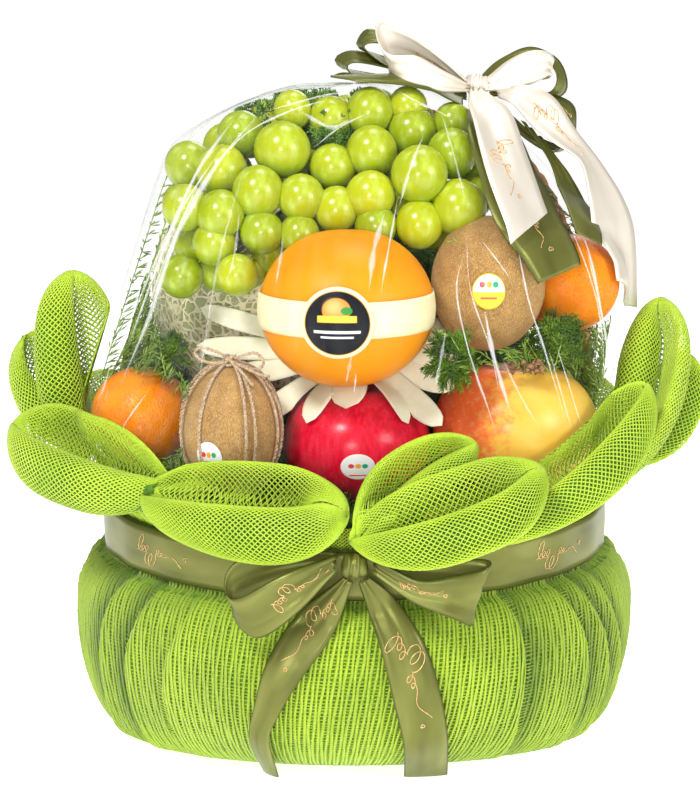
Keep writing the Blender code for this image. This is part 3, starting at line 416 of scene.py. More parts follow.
def makePouch():
    core = pouchGrid(pouch["liningInset"])[:, ::2]
    rows, columns = core.shape[:2]
    points = np.vstack([core[:, :-1].reshape(-1, 3), [[0, 0, 0.0008]], [[0, 0, pouch["waistHigh"] - mm]]])
    columns -= 1  # the last column lies on the first
    faces = ringFaces(rows, columns, upward=True)
    last, bottom, top = (rows - 1) * columns, rows * columns, rows * columns + 1
    faces += [(bottom, (j + 1) % columns, j) for j in range(columns)]
    faces += [(top, last + j, last + (j + 1) % columns) for j in range(columns)]
    # a dark green sheet just inside the net: painted shade that shows through the holes
    shadeLining = Paint("netShadeLining", Roughness=0.8)
    place = shadeLining.place()
    weave = shadeLining.noise(shadeLining.scaled(place, (620, 620, 200)), 1.0, 2.0)
    shadeLining.colour(shadeLining.mix(weave.step(0.35, 0.65), (0.08, 0.19, 0.007), (0.19, 0.34, 0.015)))
    points[:, 2] = np.maximum(points[:, 2], 0.0006)
    addPiece("pouch_shade_lining", points, faces, shadeLining, ["pouch"])

    grid = pouchGrid(0.0)
    share = np.linspace(0, 1, len(grid))
    around = math.tau * pouch["meanRadius"]
    warps = int(around / pouch["warpPitch"])
    wefts = int(pouch["netHeight"] / pouch["weftPitch"])
    front = grid[:, pouch["columns"] // 2]
    run = np.concatenate([[0], np.cumsum(np.linalg.norm(np.diff(front, axis=0), axis=1))])
    lines, normals, radii = [], [], []
    generator = np.random.default_rng(3)
    gridNormal = -gridNormals(grid)
    steps = int(run[-1] / pouch["warpStep"])
    climb = np.interp(np.linspace(0, run[-1], steps), run, share)
    for k in range(warps):
        place = k / warps
        lean = 0.020 * math.exp(-((place - 0.515) / 0.085) ** 2) * (climb - 0.5)
        v = (place + lean + 0.00035 * np.sin(climb * 21 + k * 2.4)) % 1.0
        normal = readGrid(gridNormal, climb, v)
        line = readGrid(grid, climb, v)
        lines.append(line - normal * pouch["warpRadius"] + generator.normal(0, pouch["jitter"], line.shape))
        normals.append(normal)
        radii.append(pouch["warpRadius"] * generator.uniform(0.82, 1.12, steps))
    turn = np.linspace(0, 1, pouch["weftPoints"])
    for k in range(wefts):
        u = np.interp((k + 0.5) / wefts * run[-1], run, share)
        u = u + 0.003 * np.sin(turn * math.tau * 9 + k)
        normal = readGrid(gridNormal, u, turn)
        line = readGrid(grid, u, turn) - normal * pouch["warpRadius"] * 1.15
        lines.append(line + generator.normal(0, pouch["jitter"], line.shape) * [[1, 1, 0.4]])
        normals.append(normal)
        radii.append(pouch["weftRadius"] * generator.uniform(0.85, 1.15, len(turn)))
    points, faces = tubes(lines, normals, radii)
    points[:, 2] = np.maximum(points[:, 2], 0.0002)
    # painted shade on the pouch net: darker in each pleat's recess under the lap and towards the waist, stored
    # as "hollow"
    under, _ = pleatDepth(np.arctan2(points[:, 0], -points[:, 1]), points[:, 2])
    waist = np.clip((points[:, 2] - 0.080) / 0.020, 0, 1) * 0.45
    net = addPiece("pouch_net", points, faces, pouchShadedFinish, stored={"hollow": under / 0.0045 + waist})
    gridArea(grid)
    print("basket: pouch net,", len(faces), "faces")


def gridArea(grid):
    a = grid[1:, :-1] - grid[:-1, :-1]
    b = grid[:-1, 1:] - grid[:-1, :-1]
    return float(np.linalg.norm(np.cross(a, b), axis=2).sum())


# the net's folds
folds = {
    # root, tip, how far the middle bows out, the way it opens, then half-width, depth, how far the crease
    # climbs, where along it the mouth has closed and how hollow the back wall is; lengths in mm
    "petal_front_left": ((-101, -112, 143), (-9, -152, 145), (0, -25, 5),
                         (0.1, -0.70, 0.72), 24, 25, -0.04, 0.92, 0.9),
    "petal_left": ((-92, -100, 149), (-173, -58, 167), (-4, -16, -2),
                   (0.1, -0.72, 0.7), 25, 23, -0.10, 1.06, 1),
    "petal_left_tall": ((-134, -38, 144), (-149, -20, 238), (-4, -4, 0),
                        (0.42, -0.88, 0.1), 23, 16, 0.10, 1.02, 0.8),
    "petal_left_rear": ((-140, 8, 142), (-176, 12, 201), (-8, 0, -4),
                        (0.3, -0.8, 0.5), 20, 15, -0.35, 1.1, 1),
    "petal_front_right": ((3, -151, 132), (88, -147, 161), (4, -20, -1),
                          (-0.25, -0.56, 0.79), 22, 23, 0.12, 0.96, 0.1),
    "petal_front_inner": ((3, -150, 134), (55, -130, 173), (-9, -6, 8),
                          (0.62, -0.48, 0.56), 15, 16, -0.05, 1.06, 1),
    "petal_right": ((66, -127, 130), (146, -72, 188), (10, -14, -6),
                    (-0.5, -0.62, 0.60), 20, 19, -0.14, 1.08, 1),
    "petal_right_tall": ((134, -52, 140), (163, -14, 223), (8, -6, 0),
                         (-0.6, -0.7, 0.3), 21, 17, -0.12, 1.04, 0.7),
    "petal_right_rear": ((152, 14, 134), (181, 8, 190), (6, 0, -4),
                         (-0.4, -0.8, 0.4), 17, 15, 0.1, 1.0, 0.5),
}
# a fold's sections, in shares of the half-width, downwards, and of the depth, towards the opening
roundBack = [(0.94, 0.06), (1.0, -0.24), (0.92, -0.56), (0.70, -0.80), (0.36, -0.95), (0.0, -1.0),
             (-0.36, -0.96), (-0.70, -0.78), (-0.94, -0.44)]
# where its mouth is open: up inside the lip, out over it, round the back and down the hollow wall
openSection = [(0.02, -0.66), (0.03, -0.36), (0.07, -0.02), (0.17, 0.28), (0.34, 0.46), (0.56, 0.48),
               (0.78, 0.33), *roundBack, (-1.03, -0.04), (-1.0, 0.17), (-0.92, 0.22), (-0.82, 0.08),
               (-0.64, -0.20), (-0.40, -0.46), (-0.16, -0.64), (-0.02, -0.70)]
# where it is creased between two full lobes, point by point
lobedSection = [(0.02, -0.42), (0.03, -0.24), (0.08, 0.00), (0.18, 0.22), (0.34, 0.36), (0.56, 0.40),
                (0.78, 0.32), *roundBack, (-1.0, 0.00), (-0.94, 0.30), (-0.80, 0.50), (-0.62, 0.56),
                (-0.44, 0.50), (-0.26, 0.30), (-0.11, -0.02), (-0.03, -0.40)]
# and where it is shut
shutSection = [(0.02, 0.50), (0.07, 0.50), (0.14, 0.50), (0.26, 0.49), (0.42, 0.45), (0.60, 0.38), (0.80, 0.22),
               (0.94, 0.00), *roundBack[1:-1], (-0.92, -0.46), (-1.0, -0.10), (-0.93, 0.12), (-0.82, 0.26),
               (-0.68, 0.36), (-0.50, 0.43), (-0.33, 0.47), (-0.16, 0.50), (-0.02, 0.50)]
fold = {"rows": 57, "columns": 129, "overrun": 0.06, "closing": 0.26, "smooth": 5,
        "pitch": 0.00215, "radius": 0.00043, "every": 2, "rearEvery": 3,  # threads, and crossings to a step
        "filmGap": 0.0044, "collarRadius": 0.1500, "collarTop": 0.147, "bellyTop": 0.12, "bellyGap": 0.0015,
        "lipShare": 0.46, "layerGap": 0.0016, "layerThickness": 0.0003,
        "rearAzimuths": [118, 149, 180, 211, 242], "rearRoot": (0.146, 0.143), "rearTip": (0.164, 0.168),
        "rearHalfWidth": 0.022, "rearDepth": 0.023}


def polar(radius, degrees, height):
    angle = math.radians(degrees)
    return np.array((radius * math.sin(angle), -radius * math.cos(angle), height))


filmCentre = Vector((0, 0, 0.1215))
filmTree = nodeTree("film")


def filmReach(way):
    # how far the CAD film's outermost crossing is from its centre
    hit = filmTree.ray_cast(filmCentre + way * 0.6, -way)[0]
    return (hit - filmCentre).length if hit else 0.0


def offFilm(point, gap):
    way = Vector(point) - filmCentre
    if way.z <= 0:
        return point
    reach = filmReach(way.normalized()) + gap
    if way.length >= reach:
        return point
    return np.array(filmCentre + way.normalized() * reach)


def foldSwell(s):
    # how full the fold is along its length: pointed at the root, round at the tip
    rootSide = 1 - np.abs(2 * s - 1) ** 1.9
    tipSide = 1 - np.abs(2 * s - 1) ** 3.0
    return np.maximum(np.where(s < 0.5, rootSide, tipSide), 0.0) ** 0.55


def sectionRing(points):
    ring = np.hstack([np.array(points), np.zeros((len(points), 1))])
    return smoothLine(ring, fold["columns"])[:, :2]


def foldGrid(root, tip, bow, opens, halfWidth, depth, climb, shutAt, hollow, seed):
    middle = (root + tip) / 2 + bow
    along = unit(tip - root)
    opening = unit(opens - opens.dot(along) * along)
    across = np.cross(along, opening)
    if across[2] > 0:
        across = -across
    s = ((1 - np.cos(np.linspace(0.05, math.pi - 0.05, fold["rows"]))) / 2)[:, None]
    turn = np.linspace(0, 1, fold["columns"])[None, :]
    t = s * (1 + 2 * fold["overrun"]) - fold["overrun"]
    centre = (1 - t) ** 2 * root + 2 * t * (1 - t) * middle + t ** 2 * tip
    ripple = 1 + 0.03 * np.sin(turn * 9 + s * 6 + seed) + 0.02 * np.sin(turn * 19 - s * 9 + seed * 2)
    # the mouth is wide in the middle, narrow at the root, and a round wall closes it at the tip
    mouth = np.clip((shutAt - s) / fold["closing"], 0, 1)
    mouth = (mouth * mouth * (3 - 2 * mouth))[..., None]
    opened = sectionRing(openSection) * hollow + sectionRing(lobedSection) * (1 - hollow)
    section = opened * mouth + sectionRing(shutSection) * (1 - mouth)
    slide = (0.05 * np.sin(s * 4.5 + seed * 1.3) - climb * s ** 1.5) * (1 - section[..., 0] ** 2)
    down = (section[..., 0] + slide) * ripple * halfWidth
    out = section[..., 1] * ripple * depth
    offset = down[..., None] * across + out[..., None] * opening
    return evenRows(centre[:, None] + offset * foldSwell(s)[..., None])


def evenRows(grid):
    # the same surface with its rows evenly spaced
    gaps = np.linalg.norm(np.diff(grid, axis=0), axis=2).mean(1)
    at = np.concatenate([[0], np.cumsum(gaps)]) / gaps.sum()
    u = np.interp(np.linspace(0, 1, len(grid)), at, np.linspace(0, 1, len(grid)))
    v = np.linspace(0, 1, grid.shape[1])
    return readGrid(grid, *np.meshgrid(u, v, indexing="ij"))


def clearGrid(grid):
    # kept off the film, the collar and the belly, and smoothed where that bends it
    for remaining in range(fold["smooth"], -1, -1):
        flat = grid.reshape(-1, 3).copy()
        for k, point in enumerate(flat):
            radius = math.hypot(point[0], point[1])
            reach = fold["collarRadius"] if point[2] < fold["collarTop"] else 0.0
            if point[2] < fold["bellyTop"]:
                belly = pouchRadius(np.array(math.atan2(point[0], -point[1])), np.array(point[2]))
                reach = max(reach, float(belly) + fold["bellyGap"])
            if radius < reach:
                point[:2] *= reach / radius
            flat[k] = offFilm(point, fold["filmGap"])
        grid = flat.reshape(grid.shape)
        if remaining:
            inner = grid[1:-1, 1:-1]
            around = grid[:-2, 1:-1] + grid[2:, 1:-1] + grid[1:-1, :-2] + grid[1:-1, 2:]
            grid[1:-1, 1:-1] = inner * 0.5 + around * 0.125
    return grid


def biasNet(grid, pitch, radius, every):
    # two families of threads that slant both ways over the sheet, with a point at every few crossings
    long = float(np.mean(np.linalg.norm(np.diff(grid, axis=0), axis=2).sum(0)))
    wide = float(np.max(np.linalg.norm(np.diff(grid, axis=1), axis=2).sum(1)))
    step = pitch * math.sqrt(2)
    normals = gridNormals(grid)
    count = int((long + wide) / step) + 1
    lines, directions = [], []
    for family in (0, 1):
        for i in range(-count, count + 1):
            j = np.arange(-count, count + 1)
            first, second = (np.full(j.shape, i), j) if family == 0 else (j, np.full(j.shape, i))
            a, b = (first + second) * step / 2, (first - second) * step / 2
            inside = (a >= 0) & (a <= long) & (b >= 0) & (b <= wide)
            if inside.sum() < 3:
                continue
            a, b = a[inside] / long, b[inside] / wide
            keep = np.unique(np.append(np.arange(0, len(a), every), len(a) - 1))
            lines.append(readGrid(grid, a[keep], b[keep]))
            directions.append(readGrid(normals, a[keep], b[keep]))
    return (*tubes(lines, directions, [radius] * len(lines)), long, wide)


def makeFold(name, grid, every):
    points, faces, long, wide = biasNet(grid, fold["pitch"], fold["radius"], every)
    piece = addPiece(name + "_net", points, faces, netFinish, [name])
    min(gridArea(grid), long * wide)
    return len(faces)


def makeInnerLayer(name, grid):
    # a dark sheet for the next layer of net inside the lip: painted shade
    columns = round(grid.shape[1] * fold["lipShare"])
    lip = grid[2:-2:2, :columns]
    normals = gridNormals(grid)[2:-2:2, :columns]
    outward = np.sign((normals * (lip - grid[2:-2:2].mean(1, keepdims=True))).sum(2).mean())
    inner = lip - normals * outward * fold["layerGap"]
    rows = inner.shape[0]
    long = float(np.linalg.norm(np.diff(inner, axis=0), axis=2).sum(0).mean())
    wide = float(np.linalg.norm(np.diff(inner, axis=1), axis=2).sum(1).max())
    layer = addPiece(name + "_inner", inner.reshape(-1, 3), gridFaces(rows, columns), innerShadeFinish)
    thicken(layer, fold["layerThickness"])
    min(gridArea(inner), long * wide)


def innerNetPaint():
    # dark greens for the sheet inside the lip: painted shade
    paint = Paint("innerNetShade", Roughness=0.85)
    place = paint.place()
    weave = paint.noise(paint.scaled(place, (420, 420, 420)), 1.0, 2.0)
    cloud = paint.noise(place, 30.0, 2.0)
    colour = paint.mix(cloud.step(0.3, 0.7), (0.045, 0.13, 0.006), (0.10, 0.24, 0.012))
    paint.colour(paint.mix(weave.step(0.40, 0.65) * 0.5, colour, (0.17, 0.34, 0.02)))
    return paint


def makeFolds():
    total = 0
    for seed, (name, values) in enumerate(folds.items()):
        root, tip, bow, opens, halfWidth, depth, climb, shutAt, hollow = values
        root, tip, bow = (np.array(value) * mm for value in (root, tip, bow))
        grid = clearGrid(foldGrid(root, tip, bow, np.array(opens), halfWidth * mm, depth * mm, climb, shutAt,
                                  hollow, seed))
        total += makeFold(name, grid, fold["rearEvery" if name.endswith(("rear", "tall")) else "every"])
        makeInnerLayer(name, grid)
    for number, azimuth in enumerate(fold["rearAzimuths"], 1):
        outward = polar(1, azimuth, 0)
        (rootRadius, rootHeight), (tipRadius, tipHeight) = fold["rearRoot"], fold["rearTip"]
        grid = foldGrid(polar(rootRadius, azimuth - 13, rootHeight), polar(tipRadius, azimuth + 14, tipHeight),
                        outward * 0.014, outward * 0.5 + np.array((0, 0, 0.85)), fold["rearHalfWidth"],
                        fold["rearDepth"], 0.1, 1.0, 0.6, number * 3)
        total += makeFold("petal_rear_%d" % number, clearGrid(grid), fold["rearEvery"])
    print("basket: folds,", total, "faces")


collar = {"low": 0.1212, "high": 0.1350, "lowRadius": 0.1315, "highRadius": 0.1425, "waves": 84, "wave": 0.0013,
          "rows": 17, "columns": 1261, "pitch": 0.0018, "radius": 0.0004, "every": 3}


def makeCollar():
    climb = np.linspace(0, 1, collar["rows"])[:, None]
    azimuth = np.linspace(0, math.tau, collar["columns"])[None, :]
    radius = collar["lowRadius"] + (collar["highRadius"] - collar["lowRadius"]) * climb
    gathers = np.sin(azimuth * collar["waves"] + 2 * np.sin(azimuth * 5))
    radius = radius + collar["wave"] * (0.4 + 0.6 * climb) * gathers
    grid = roundGrid(radius, azimuth, collar["low"] + (collar["high"] - collar["low"]) * climb)
    points, faces, long, wide = biasNet(grid, collar["pitch"], collar["radius"], collar["every"])
    piece = addPiece("collar_net", points, faces, netFinish, ["net_collar"])
    min(gridArea(grid), long * wide)
    print("basket: collar,", len(faces), "faces")


# one lime net in two copies: the pouch's is painted darker than the folds' and the collar's, a painted shade,
# and each ends in a dark painted-shade colour
netFinish = netPaint("limeNet", (0.52, 0.72, 0.026), (0.38, 0.57, 0.018), (0.045, 0.15, 0.004))
pouchShadedFinish = netPaint("pouchNetShaded", (0.38, 0.55, 0.014), (0.27, 0.42, 0.010), (0.030, 0.10, 0.002))
innerShadeFinish = innerNetPaint()
makePouch()
makeFolds()
makeCollar()


# satin ribbons
def satinPaint(name, light, middle, shade, edge, roughness):
    paint = Paint(name, Roughness=roughness, Metallic=0.42, Specular_IOR_Level=0.3)
    along, across = paint.stored("along"), paint.stored("across")
    # soft bands along the ribbon from the shade, middle and light colours: painted sheen and painted shade
    flow = paint.node("ShaderNodeCombineXYZ", None, {0: along * 20, 1: across * 1.6, 2: 0.0})
    band = paint.noise(flow, 1.0, 2.0, 0.45)
    side = (across * 2 - 1).math("ABSOLUTE")
    colour = paint.mix(band.step(0.25, 0.55) * 0.6 + 0.4, shade, middle)
    colour = paint.mix(band.step(0.50, 0.75) * 0.45, colour, light)
    paint.colour(paint.mix(side.step(0.90, 0.97), colour, edge))
    paint.set("Roughness", roughness + 0.10 * band)
    paint.bump((along * 9000).math("SINE"), 0.00003, 0.3)
    return paint


ribbons = {
    # each one's satin, what it is kept clear of, and its two edges in mm
    "waist_loop_left": ("olive", "belly", [
        [(-9, -146, 124), (-32, -150, 126), (-55, -151, 122), (-63, -153, 112), (-58, -160, 104),
         (-34, -162, 117), (-9, -154, 124)],
        [(-9, -145, 117), (-32, -145, 109), (-55, -146, 99), (-58, -153, 91), (-46, -161, 85),
         (-27, -162, 98), (-9, -153, 115)]]),
    "waist_loop_right": ("olive", "belly", [
        [(9, -153, 122), (30, -157, 113), (48, -157, 115), (64, -154, 118), (64, -149, 121),
         (40, -149, 122), (9, -146, 124)],
        [(9, -153, 115), (28, -158, 102), (46, -160, 95), (56, -155, 89), (54, -148, 90),
         (34, -146, 99), (9, -146, 115)]]),
    "waist_tail_left": ("olive", "belly", [
        [(-5, -148, 112), (-27, -141, 92), (-42, -148, 71), (-49, -146, 47), (-52, -138, 26),
         (-46, -114, 1)],
        [(-1, -150, 110), (-10, -148, 84), (-27, -152, 60), (-37, -149, 42), (-42, -142, 27),
         (-38, -123, 1)]]),
    "waist_tail_right": ("olive", "belly", [
        [(2, -150, 110), (7, -144, 92), (13, -152, 75), (19, -153, 50), (24, -147, 26), (25, -122, 1)],
        [(7, -149, 112), (20, -142, 99), (34, -148, 79), (42, -149, 54), (46, -144, 30), (47, -119, 1)]]),
    "cream_loop_left": ("cream", "film", [
        [(60, -13, 342), (45, -15, 355), (28, -16, 367), (13, -18, 373), (11, -24, 366), (17, -29, 357),
         (32, -31, 356), (47, -27, 348), (60, -17, 341)],
        [(60, -9, 338), (44, -8, 346), (30, -6, 350), (20, -9, 348), (20, -18, 343), (25, -27, 341),
         (33, -30, 339), (46, -27, 337), (60, -17, 337)]]),
    "cream_loop_right": ("cream", "film", [
        [(67, -9, 342), (80, -12, 353), (92, -13, 358), (102, -11, 357), (104, -6, 352), (90, 0, 350),
         (69, -5, 342)],
        [(67, -14, 337), (80, -18, 338), (92, -17, 341), (101, -14, 345), (102, -5, 343), (88, 1, 341),
         (69, -6, 338)]]),
    "cream_tail_front": ("cream", "filmHigh", [
        [(60, -16, 338), (58, -42, 322), (65, -70, 296), (76, -93, 265)],
        [(67, -16, 338), (80, -32, 328), (87, -50, 309), (97, -71, 280)]]),
    "cream_tail_right": ("cream", "filmClose", [
        [(74, -15, 338), (87, -20, 341), (103, -22, 335), (116, -18, 317), (130, -15, 299), (142, -14, 280),
         (148, -14, 261), (150, -14, 223)],
        [(75, -20, 334), (82, -28, 331), (92, -31, 320), (104, -30, 311), (117, -30, 302), (121, -34, 286),
         (123, -38, 266), (123, -42, 231)]]),
    "olive_loop_top": ("olive", "film", [
        [(59, -2, 335.5), (45, 2, 345), (30, 3, 354.5), (18, 3, 360), (10, 3, 361.5), (5, 3, 360),
         (6, 3, 357), (15, 3, 350), (29, 2, 343), (59, -2, 332)],
        [(59, 6, 339.5), (46, 14, 350.5), (30, 17, 361), (17, 18, 366), (7, 18, 368),
         (2, 18, 363), (2, 18, 358), (14, 17, 353.5), (30, 14, 347), (59, 6, 335.5)]]),
    "olive_loop_left": ("olive", "film", [
        [(59, -2, 333), (40, 2, 341), (22, 3, 347), (7, 3, 350.5), (-1, 3, 351), (-4, 3, 348.5),
         (-1, 3, 344.5), (9, 3, 340), (24, 2, 336), (59, -2, 330)],
        [(59, 6, 337.5), (40, 16, 345.5), (22, 18, 352), (6, 18, 356), (-3, 18, 356.5),
         (-10, 18, 353), (-9, 18, 348.5), (-1, 17, 346), (24, 16, 341.5), (59, 6, 334)]]),
    "olive_band": ("olive", "film", [
        [(56, -24, 329), (39, -31, 332), (21, -31, 336.5), (4, -31, 339.5), (-6, -27, 339),
         (-12, -24, 340.5)],
        [(57, -10, 333.5), (40, -13, 338), (21, -13, 342.5), (4, -13, 345.5), (-6, -12, 346.5),
         (-12, -12, 344.5)]]),
    "olive_loop_right": ("olive", "film", [
        [(66, 0, 338), (77, 3, 347), (91, 4, 352), (101, 4, 350.5), (106, 4, 345.5),
         (106, 4, 339), (101, 4, 335), (90, 3, 334.5), (72, 1, 334.5)],
        [(68, 7, 342), (78, 15, 351.5), (93, 18, 358), (106, 18, 353.5), (112, 18, 345.5),
         (113, 18, 335.5), (106, 18, 332), (91, 15, 337), (72, 7, 338.5)]]),
    "olive_loop_low": ("olive", "film", [
        [(72, -2, 336), (92, -2, 329.5), (104, -3, 324.5), (110, -3, 320), (111, -3, 315.5),
         (110, -3, 309), (104, -4, 304.5), (92, -5, 311), (81, -6, 320.5), (68, -4, 330.5)],
        [(77, 6, 339.5), (94, 12, 336.5), (110, 12, 332), (117, 12, 327), (118, 12, 318),
         (117, 12, 309.5), (112, 11, 306.5), (96, 8, 313), (84, 4, 323), (71, 2, 332.5)]]),
    "olive_tail_front": ("olive", "film", [
        [(58, -24, 327), (57, -50, 319), (61, -65, 300), (71, -86, 272), (91, -88, 246)],
        [(70, -24, 325), (84, -24, 317), (96, -40, 290), (106, -57, 268), (114, -64, 252)]]),
    "olive_tail_right": ("olive", "film", [
        [(87, -14, 322), (102, -16, 300), (107, -39, 280), (111, -53, 266)],
        [(99, -12, 309), (112, -12, 295), (122, -18, 276), (126, -46, 259)]]),
}
ribbon = {"rows": 54, "columns": 9, "thickness": 0.0005, "crimp": 0.0017, "crimps": 3, "crimpReach": 0.030,
          "cup": 0.0009, "bellyGap": 0.0026, "floorGap": 0.0007}
waistBand = {"rows": 361, "columns": 7, "low": 0.0962, "high": 0.1212, "radius": 0.1352, "cup": 0.0004}


def offBelly(point):
    belly = pouchRadius(np.array(math.atan2(point[0], -point[1])), np.array(max(point[2], 0.0)))
    scale = max(1.0, (float(belly) + ribbon["bellyGap"]) / math.hypot(point[0], point[1]))
    return np.array((point[0] * scale, point[1] * scale, max(point[2], ribbon["floorGap"])))


filmGaps = {"film": 0.0036, "filmHigh": 0.0080, "filmClose": 0.0016}


def ribbonGrid(edges, over, knots):
    first, second = [evenLine(smoothLine(np.array(edge) * mm, 160), ribbon["rows"]) for edge in edges]
    t = np.linspace(0, 1, ribbon["columns"])[None, :, None]
    grid = first[:, None] * (1 - t) + second[:, None] * t
    normal = gridNormals(grid)
    along = np.linspace(0, 1, ribbon["rows"])
    length = float(np.linalg.norm(np.diff(grid[:, ribbon["columns"] // 2], axis=0), axis=1).sum())
    near = np.zeros(ribbon["rows"])
    if "start" in knots:
        near = near + np.exp(-along * length / ribbon["crimpReach"])
    if "end" in knots:
        near = near + np.exp(-(1 - along) * length / ribbon["crimpReach"])
    # gathers that run out from the knot, and a slight cup across
    wave = np.sin(t[..., 0] * math.tau * ribbon["crimps"] + 2.0 * along[:, None])
    lift = near[:, None] * ribbon["crimp"] * wave + ribbon["cup"] * (1 - (2 * t[..., 0] - 1) ** 2)
    grid = grid + normal * lift[..., None]
    for i in range(grid.shape[0]):
        for j in range(grid.shape[1]):
            grid[i, j] = offBelly(grid[i, j]) if over == "belly" else offFilm(grid[i, j], filmGaps[over])
    return grid, length


def addRibbon(name, grid, length, finish, replaced, held):
    rows, columns = grid.shape[:2]
    along = np.repeat(np.linspace(0, length, rows), columns)
    across = np.tile(np.linspace(0, 1, columns), rows)
    piece = addPiece(name, grid.reshape(-1, 3), gridFaces(rows, columns), finish, [replaced],
                     {"along": along, "across": across})
    thicken(piece, ribbon["thickness"], 0)
    wide = float(np.linalg.norm(np.diff(grid, axis=1), axis=2).sum(1).mean())
    min(gridArea(grid), 1.0009 * length * wide)


satins = {"olive": satinPaint("oliveSatin", (0.36, 0.345, 0.11), (0.185, 0.195, 0.042), (0.060, 0.068, 0.012),
                              (0.10, 0.112, 0.022), 0.28),
          "cream": satinPaint("creamSatin", (0.87, 0.79, 0.66), (0.83, 0.76, 0.65), (0.72, 0.64, 0.52),
                              (0.86, 0.78, 0.65), 0.42)}
ribbonGrids = {}


def makeRibbons():
    for name, (satin, over, edges) in ribbons.items():
        knots = {"start"} if "tail" in name else {"start", "end"} if "loop" in name else set()
        grid, length = ribbonGrid(edges, over, knots)
        ribbonGrids[name] = grid
        restsOn = ["waist_knot"] if "waist" in name else ["bow_knot"]
        addRibbon(name + "_satin", grid, length, satins[satin], name,
                  "draped" if "tail" in name else "folded")
    azimuth = np.linspace(-math.pi, math.pi, waistBand["rows"])[:, None]
    cup = waistBand["cup"] * np.sin(np.linspace(0, math.pi, waistBand["columns"]))
    radius = waistBand["radius"] + cup[None, :] + 0.0003 * np.sin(azimuth * 23)
    grid = roundGrid(radius, azimuth, np.linspace(waistBand["low"], waistBand["high"], waistBand["columns"]))
    ribbonGrids["waist_ribbon"] = grid
    addRibbon("waist_ribbon_satin", grid, math.tau * (waistBand["radius"] + 0.2 * mm), satins["olive"],
              "waist_ribbon", "stretched")
    print("basket: ribbons")


# gilt strokes on the ribbons: a looped swash with a tail and a small heart
flourish = {"heights": (8.0, 3.0, 3.4, -5.6, -6.2, 3.0, 1.8), "pitch": 2.9, "round": 2.1, "slant": 0.42,
            "tail": 12, "radius": 0.00027, "lift": 0.00032, "ribbonWidth": 25}


def swash(length):
    # loops of uneven height, some up and some down, with a long wavy end
    # what it gives is the way along in metres and the way across in shares of the ribbon's width
    along, across = [], []
    for k, height in enumerate(flourish["heights"]):
        turn = np.linspace(0, math.tau, 28, endpoint=False)
        rise = height * (1 - np.cos(turn)) / 2
        wide = flourish["round"] * (0.6 + 0.05 * abs(height))
        along.append((k + turn / math.tau) * flourish["pitch"] + wide * np.sin(turn) * np.sign(height)
                     + flourish["slant"] * rise)
        across.append(rise)
    t = np.linspace(0, 1, 40)
    along.append(len(flourish["heights"]) * flourish["pitch"] + t * flourish["tail"])
    across.append(3.2 * t * np.sin(t * math.pi * 1.4))
    along, across = np.concatenate(along), np.concatenate(across)
    size = length / along.max()
    return along * size, 0.46 + across * size / mm / flourish["ribbonWidth"]


def heart(along, across):
    t = np.linspace(0, math.tau, 24)
    x = 16 * np.sin(t) ** 3
    y = 13 * np.cos(t) - 5 * np.cos(2 * t) - 2 * np.cos(3 * t) - np.cos(4 * t)
    return along + y * 0.00007, across + x * 0.0028


strokes = [
    # the ribbon, where along it the stroke starts, its length, and which side of the ribbon is up
    ("waist_ribbon", 0.347, 0.036, 1), ("waist_ribbon", 0.618, 0.036, 1), ("waist_loop_left", 0.70, 0.030, 1),
    ("waist_tail_left", 0.10, 0.040, 1), ("waist_tail_right", 0.26, 0.046, -1),
    ("waist_loop_right", 0.12, 0.022, 1), ("cream_tail_front", 0.44, 0.034, 1),
    ("cream_tail_right", 0.16, 0.034, 1), ("olive_tail_front", 0.62, 0.026, 1),
    ("cream_loop_left", 0.10, 0.018, -1), ("olive_loop_low", 0.2, 0.020, 1),
]


def makeStrokes():
    lines, normals = [], []
    for name, start, length, side in strokes:
        grid = ribbonGrids[name]
        whole = float(np.linalg.norm(np.diff(grid[:, grid.shape[1] // 2], axis=0), axis=1).sum())
        for along, across in (swash(length), heart(length * 1.07, 0.52)):
            u, v = start + along / whole, 0.5 + (across - 0.5) * side
            inside = (u > 0.005) & (u < 0.995)
            if inside.sum() < 4:
                continue
            normal = readGrid(gridNormals(grid), u[inside], v[inside])
            surface = readGrid(grid, u[inside], v[inside])
            toLens = np.array(camera.matrix_world.translation) - surface
            normal = normal * np.sign((normal * toLens).sum(1).mean())  # the side that faces the lens
            lines.append(surface + normal * flourish["lift"])
            normals.append(normal)
    points, faces = tubes(lines, normals, [flourish["radius"]] * len(lines))
    gilt = Paint("giltPrint", Roughness=0.35, Metallic=0.65)
    fleck = gilt.noise(gilt.place(), 900.0, 2.0)
    gilt.colour(gilt.mix(fleck.step(0.35, 0.7), (0.75, 0.42, 0.16), (0.95, 0.68, 0.34)))
    addPiece("ribbon_gilt", points, faces, gilt)
    print("basket: gilt strokes,", len(lines))


knot = {"rows": 49, "columns": 33, "ridges": 2.5, "bowDrop": 0.0035}


